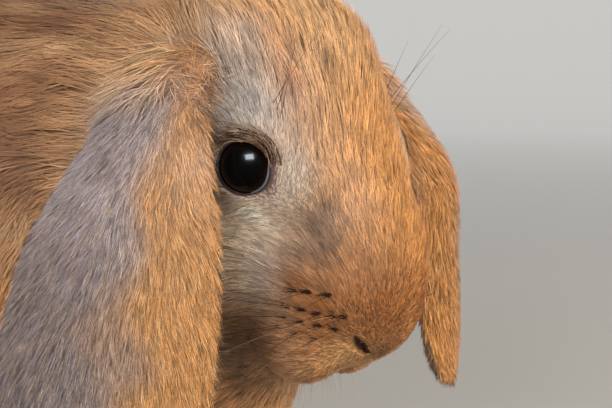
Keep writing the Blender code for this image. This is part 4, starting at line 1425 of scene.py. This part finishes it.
def hair_finish(name, colour):
    made, nodes, shader = material_of(name, 0.6, Specular_IOR_Level=0.03)
    noise = nodes.nodes.new("ShaderNodeTexNoise")
    noise.inputs["Scale"].default_value = 120
    where = nodes.nodes.new("ShaderNodeTexCoord")
    ramp = nodes.nodes.new("ShaderNodeValToRGB")
    ramp.color_ramp.elements[0].color = (*(colour * 0.7), 1)
    ramp.color_ramp.elements[1].color = (*(colour * 1.25), 1)
    nodes.links.new(where.outputs["Object"], noise.inputs["Vector"])
    nodes.links.new(noise.outputs["Fac"], ramp.inputs["Fac"])
    nodes.links.new(ramp.outputs["Color"], shader.inputs["Base Color"])
    return made


# %% Whiskers
dark_hair = hair_finish("dark_hair", screen(46, 32, 26))
brown_hair = hair_finish("brown_hair", screen(120, 86, 60))
pale_hair = hair_finish("pale_hair", screen(176, 150, 122))
whisker_draw = np.random.default_rng(23)
t = np.linspace(0, 1, 14)[:, None]


def hair_path(start, direction, long, droop, curl):
    """A springy path that leaves in one direction and is bent down and back along its way."""
    bend = np.array((0, curl, -droop))
    return start + long * (t * unit(direction) + t**2 * bend)


dark_paths, pale_paths = [], []
for side, row, column, place in WHISKERS:
    aim = np.array((side, 0.45 - 0.2 * column, 0.3 - 0.22 * row)) + whisker_draw.normal(size=3) * 0.12
    direction = unit(aim) @ HEAD_AXES + np.array((0, 0.35, 0.1))
    long = mm(24 + 9 * column) * whisker_draw.uniform(0.8, 1.3)
    path = hair_path(place, direction, long, whisker_draw.uniform(0.05, 0.35), whisker_draw.uniform(0.1, 0.45))
    (pale_paths if whisker_draw.random() < 0.2 else dark_paths).append(path)
for side in SIDES:
    for _ in range(44):
        aim = np.array((side * whisker_draw.uniform(0.02, 0.8), 0.9, whisker_draw.uniform(-1.2, -0.3)))
        place = on_skin(mm(0, 42, -30), aim)
        direction = unit(aim) @ HEAD_AXES + whisker_draw.normal(size=3) * 0.3
        pale_paths.append(hair_path(place, direction, mm(whisker_draw.uniform(3, 10)), 0.4, 0.2))
    for share in np.linspace(0, 1, 4):
        place = on_skin(mm(side * 20, -6, 10), (side * 0.75, 0.3 - 0.5 * share, 0.75))
        direction = np.array((side * 0.6, -0.5, 0.85)) + whisker_draw.normal(size=3) * 0.15
        dark_paths.append(hair_path(place, direction, mm(whisker_draw.uniform(26, 42)), 0.1, 0.05))
root_paths = []
for side, row, column, place in WHISKERS:
    away = unit(place - from_head(on_side(WHISKER_PAD, side)))
    back_way = on_side(np.array((0.45, -0.6, -0.55)), side) @ HEAD_AXES
    back_way = unit(back_way - away * (back_way @ away))
    for _ in range(26 - 6 * row):
        start = place + away * mm(0.5) + whisker_draw.normal(size=3) * mm(0.34)
        direction = back_way + away * whisker_draw.uniform(0.02, 0.3) + whisker_draw.normal(size=3) * 0.1
        root_paths.append(hair_path(start, direction, mm(whisker_draw.uniform(0.8, 5.5 - row)), 0.1, 0.1))
rods("whisker_tufts", root_paths, dark_hair, mm(0.13), tip=0.1, steps=6)
rods("whiskers_dark", dark_paths, dark_hair, mm(0.1), tip=0.25)
rods("whiskers_pale", pale_paths, pale_hair, mm(0.05), tip=0.3)

# %% Brow hairs along the upper lid
BROW_HAIRS = (
    ("lashes_dark", 110, dark_hair),
    ("lashes_brown", 60, brown_hair),
    ("lashes_pale", 50, pale_hair),
)
BROW_FROM, BROW_TO = radians(50), radians(150)
BROW_SPAN = radians(25), radians(70)
BROW_BESIDE = radians(-8), radians(14)
BROW_REACH = EYE_RADIUS + LID_THICKNESS + mm(9) * np.linspace(0, 1, 46)
lash_draw = np.random.default_rng(31)


def above_lid(side, clear, angle, turn):
    """Points over the skin round an eye, each a given height above it, for the angles and turns of a path."""
    places = around_eye(side, BROW_REACH[None], angle[:, None], turn[:, None])
    field = body_skin(places.reshape(-1, 3)).reshape(len(turn), -1)
    field = soft_union(field, (BROW_REACH - EYE_RADIUS - LID_THICKNESS)[None], mm(5))
    outermost = np.argmax(field > clear[:, None], axis=1)
    return places[np.arange(len(turn)), outermost]


for name, hairs, material in BROW_HAIRS:
    paths = []
    for side in SIDES:
        for _ in range(hairs):
            first, span = lash_draw.uniform(BROW_FROM, BROW_TO), lash_draw.uniform(*BROW_SPAN)
            along_hair = t[:, 0]
            turn = first + span * along_hair
            beyond = lash_draw.uniform(*BROW_BESIDE) + radians(lash_draw.uniform(-3, 10)) * along_hair
            clear = mm(0.5) + mm(lash_draw.uniform(0.4, 1)) * np.sin(pi * np.minimum(along_hair * 0.8, 1))
            paths.append(above_lid(side, clear, lid_angle(turn) + beyond, turn))
    rods(name, paths, material, mm(0.09), steps=12)

# %% [markdown]
# ## Claws
# The claws are horn, and their solids already have the right shape. They keep it and get a finish: dark horn,
# streaked and a little polished.

# %% Horn
horn, nodes, shader = material_of("claw_horn", 0.4, Specular_IOR_Level=0.2, Coat_Weight=0.04)
noise = nodes.nodes.new("ShaderNodeTexNoise")
noise.inputs["Scale"].default_value = 260
noise.inputs["Detail"].default_value = 4
stretch = nodes.nodes.new("ShaderNodeMapping")
stretch.inputs["Scale"].default_value = (1, 0.15, 1)
where = nodes.nodes.new("ShaderNodeTexCoord")
ramp = nodes.nodes.new("ShaderNodeValToRGB")
ramp.color_ramp.elements[0].color = (*screen(58, 42, 34), 1)
ramp.color_ramp.elements[1].color = (*screen(142, 116, 94), 1)
bump = nodes.nodes.new("ShaderNodeBump")
bump.inputs["Distance"].default_value = 0.0001
for source, target in (
    (where.outputs["Object"], stretch.inputs["Vector"]),
    (stretch.outputs["Vector"], noise.inputs["Vector"]),
    (noise.outputs["Fac"], ramp.inputs["Fac"]),
    (ramp.outputs["Color"], shader.inputs["Base Color"]),
    (noise.outputs["Fac"], bump.inputs["Height"]),
    (bump.outputs["Normal"], shader.inputs["Normal"]),
):
    nodes.links.new(source, target)
for name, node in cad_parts.items():
    if name.startswith("claw_"):
        node.data.materials.clear()
        node.data.materials.append(horn)

# %% [markdown]
# ## Studio
# The floor and the light are plain: a pale floor that bends up into a round wall with no edge, a large warm
# light from the right, as the low sun gives in the photograph, and a cool one from beside the camera, a little
# to its left. A small one only shines back from wet and glossy things: it puts the highlight in the eye, and
# nothing else is mirrored there, so that the eye stays dark. The floor glows faintly further out, so that the
# backdrop stays pale. The camera stands close by the right cheek.

# %% Camera
CAMERA_AZIMUTH, CAMERA_ELEVATION = radians(-59.5), radians(5.5)
CAMERA_DISTANCE = 0.56
FRAME_WIDTH, FRAME_HEIGHT = 612, 408
SENSOR = 36
PIXELS_PER_METRE = 3150
EYE_PIXEL = 247, 166

eye_place = eye_frame(RIGHT)[0] + SHIFT
back = np.array((sin(CAMERA_AZIMUTH), -cos(CAMERA_AZIMUTH), 0)) * cos(CAMERA_ELEVATION)
back[2] = sin(CAMERA_ELEVATION)
image_right = unit(np.cross(UPRIGHT, back))
image_up = np.cross(back, image_right)
aim = eye_place + image_right * (FRAME_WIDTH / 2 - EYE_PIXEL[0]) / PIXELS_PER_METRE
aim = aim + image_up * (EYE_PIXEL[1] - FRAME_HEIGHT / 2) / PIXELS_PER_METRE
camera = bpy.data.objects.new("camera", bpy.data.cameras.new("camera"))
bpy.context.scene.collection.objects.link(camera)
camera.location = aim + back * CAMERA_DISTANCE
camera.rotation_euler = Vector(back).to_track_quat("Z", "Y").to_euler()
camera.data.lens = SENSOR * CAMERA_DISTANCE * PIXELS_PER_METRE / FRAME_WIDTH
camera.data.sensor_width = SENSOR
camera.data.clip_start = 0.01
bpy.context.scene.camera = camera
print("camera at", np.round(camera.location, 4), "lens", round(camera.data.lens, 2))

# %% Floor and backdrop
FLOOR_RADIUS, BEND_RADIUS, WALL_HEIGHT = 3.2, 1.2, 4.0
AROUND = 96
bend = np.linspace(0, pi / 2, 13)
profile = [(0.0, 0.0), *zip(FLOOR_RADIUS + BEND_RADIUS * np.sin(bend), BEND_RADIUS * (1 - np.cos(bend)))]
profile.append((FLOOR_RADIUS + BEND_RADIUS, WALL_HEIGHT))
turns = np.arange(AROUND) * 2 * pi / AROUND
rings = [np.column_stack((r * np.cos(turns), r * np.sin(turns), np.full(AROUND, z))) for r, z in profile[1:]]
floor_points = np.vstack(((0, 0, 0), *rings))
number = 1 + np.arange(len(rings) * AROUND).reshape(len(rings), AROUND)
after = np.roll(number, -1, axis=1)
middle = np.column_stack((np.zeros(AROUND, int), number[0], after[0], after[0]))
sheets = np.stack((number[:-1], number[1:], after[1:], after[:-1]), axis=-1).reshape(-1, 4)
floor = bpy.data.objects.new("floor", bpy.data.meshes.new("floor"))
floor.data.from_pydata(floor_points.tolist(), [], [row[:3] for row in middle.tolist()] + sheets.tolist())
bpy.context.scene.collection.objects.link(floor)
floor.data.shade_smooth()
floor_finish, nodes, shader = material_of("floor", 0.8)
where, reach = nodes.nodes.new("ShaderNodeTexCoord"), nodes.nodes.new("ShaderNodeVectorMath")
far, glow = nodes.nodes.new("ShaderNodeMapRange"), nodes.nodes.new("ShaderNodeMath")
ramp = nodes.nodes.new("ShaderNodeValToRGB")
reach.operation, glow.operation = "LENGTH", "MULTIPLY"
far.inputs["From Min"].default_value = 0.4
far.inputs["From Max"].default_value = 2.9
glow.inputs[1].default_value = 0.34
ramp.color_ramp.elements[0].color = (0.56, 0.55, 0.53, 1)
ramp.color_ramp.elements[1].color = (0.45, 0.44, 0.43, 1)
shader.inputs["Emission Color"].default_value = (1, 0.98, 0.95, 1)
nodes.links.new(where.outputs["Object"], reach.inputs[0])
nodes.links.new(reach.outputs["Value"], far.inputs["Value"])
nodes.links.new(far.outputs["Result"], glow.inputs[0])
nodes.links.new(glow.outputs["Value"], shader.inputs["Emission Strength"])
nodes.links.new(far.outputs["Result"], ramp.inputs["Fac"])
nodes.links.new(ramp.outputs["Color"], shader.inputs["Base Color"])
floor.data.materials.append(floor_finish)
floor.visible_glossy = False

# %% Lights


def area_light(name, direction, distance, size, power, colour):
    """A soft light that faces the head from a direction given as right, up and back in the view."""
    away = unit(image_right * direction[0] + image_up * direction[1] + back * direction[2])
    light = bpy.data.objects.new(name, bpy.data.lights.new(name, "AREA"))
    bpy.context.scene.collection.objects.link(light)
    light.data.size, light.data.energy, light.data.color = size, power, colour
    light.location = eye_place + away * distance
    light.rotation_euler = Vector(away).to_track_quat("Z", "Y").to_euler()
    return light


key = area_light("key", (0.82, 0.3, 0.46), 1.7, 0.8, 29, (1, 0.84, 0.6))
fill = area_light("fill", (-0.34, 0.12, 0.94), 1.9, 0.9, 24, (0.88, 0.94, 1))
catch = area_light("catch", (0.25, 0.66, 0.72), 1.0, 0.6, 36, (0.8, 0.9, 1))
catch.data.shape, catch.data.size_y = "RECTANGLE", 0.4
key.visible_glossy = fill.visible_glossy = False
catch.visible_diffuse = False
bpy.context.scene.view_settings.view_transform = "Standard"

# %% The studio's even light
world = bpy.data.worlds.new("studio")
world.use_nodes = True
world.node_tree.nodes["Background"].inputs["Color"].default_value = (0.78, 0.83, 0.9, 1)
world.node_tree.nodes["Background"].inputs["Strength"].default_value = 0.42
world.cycles_visibility.glossy = False
bpy.context.scene.world = world
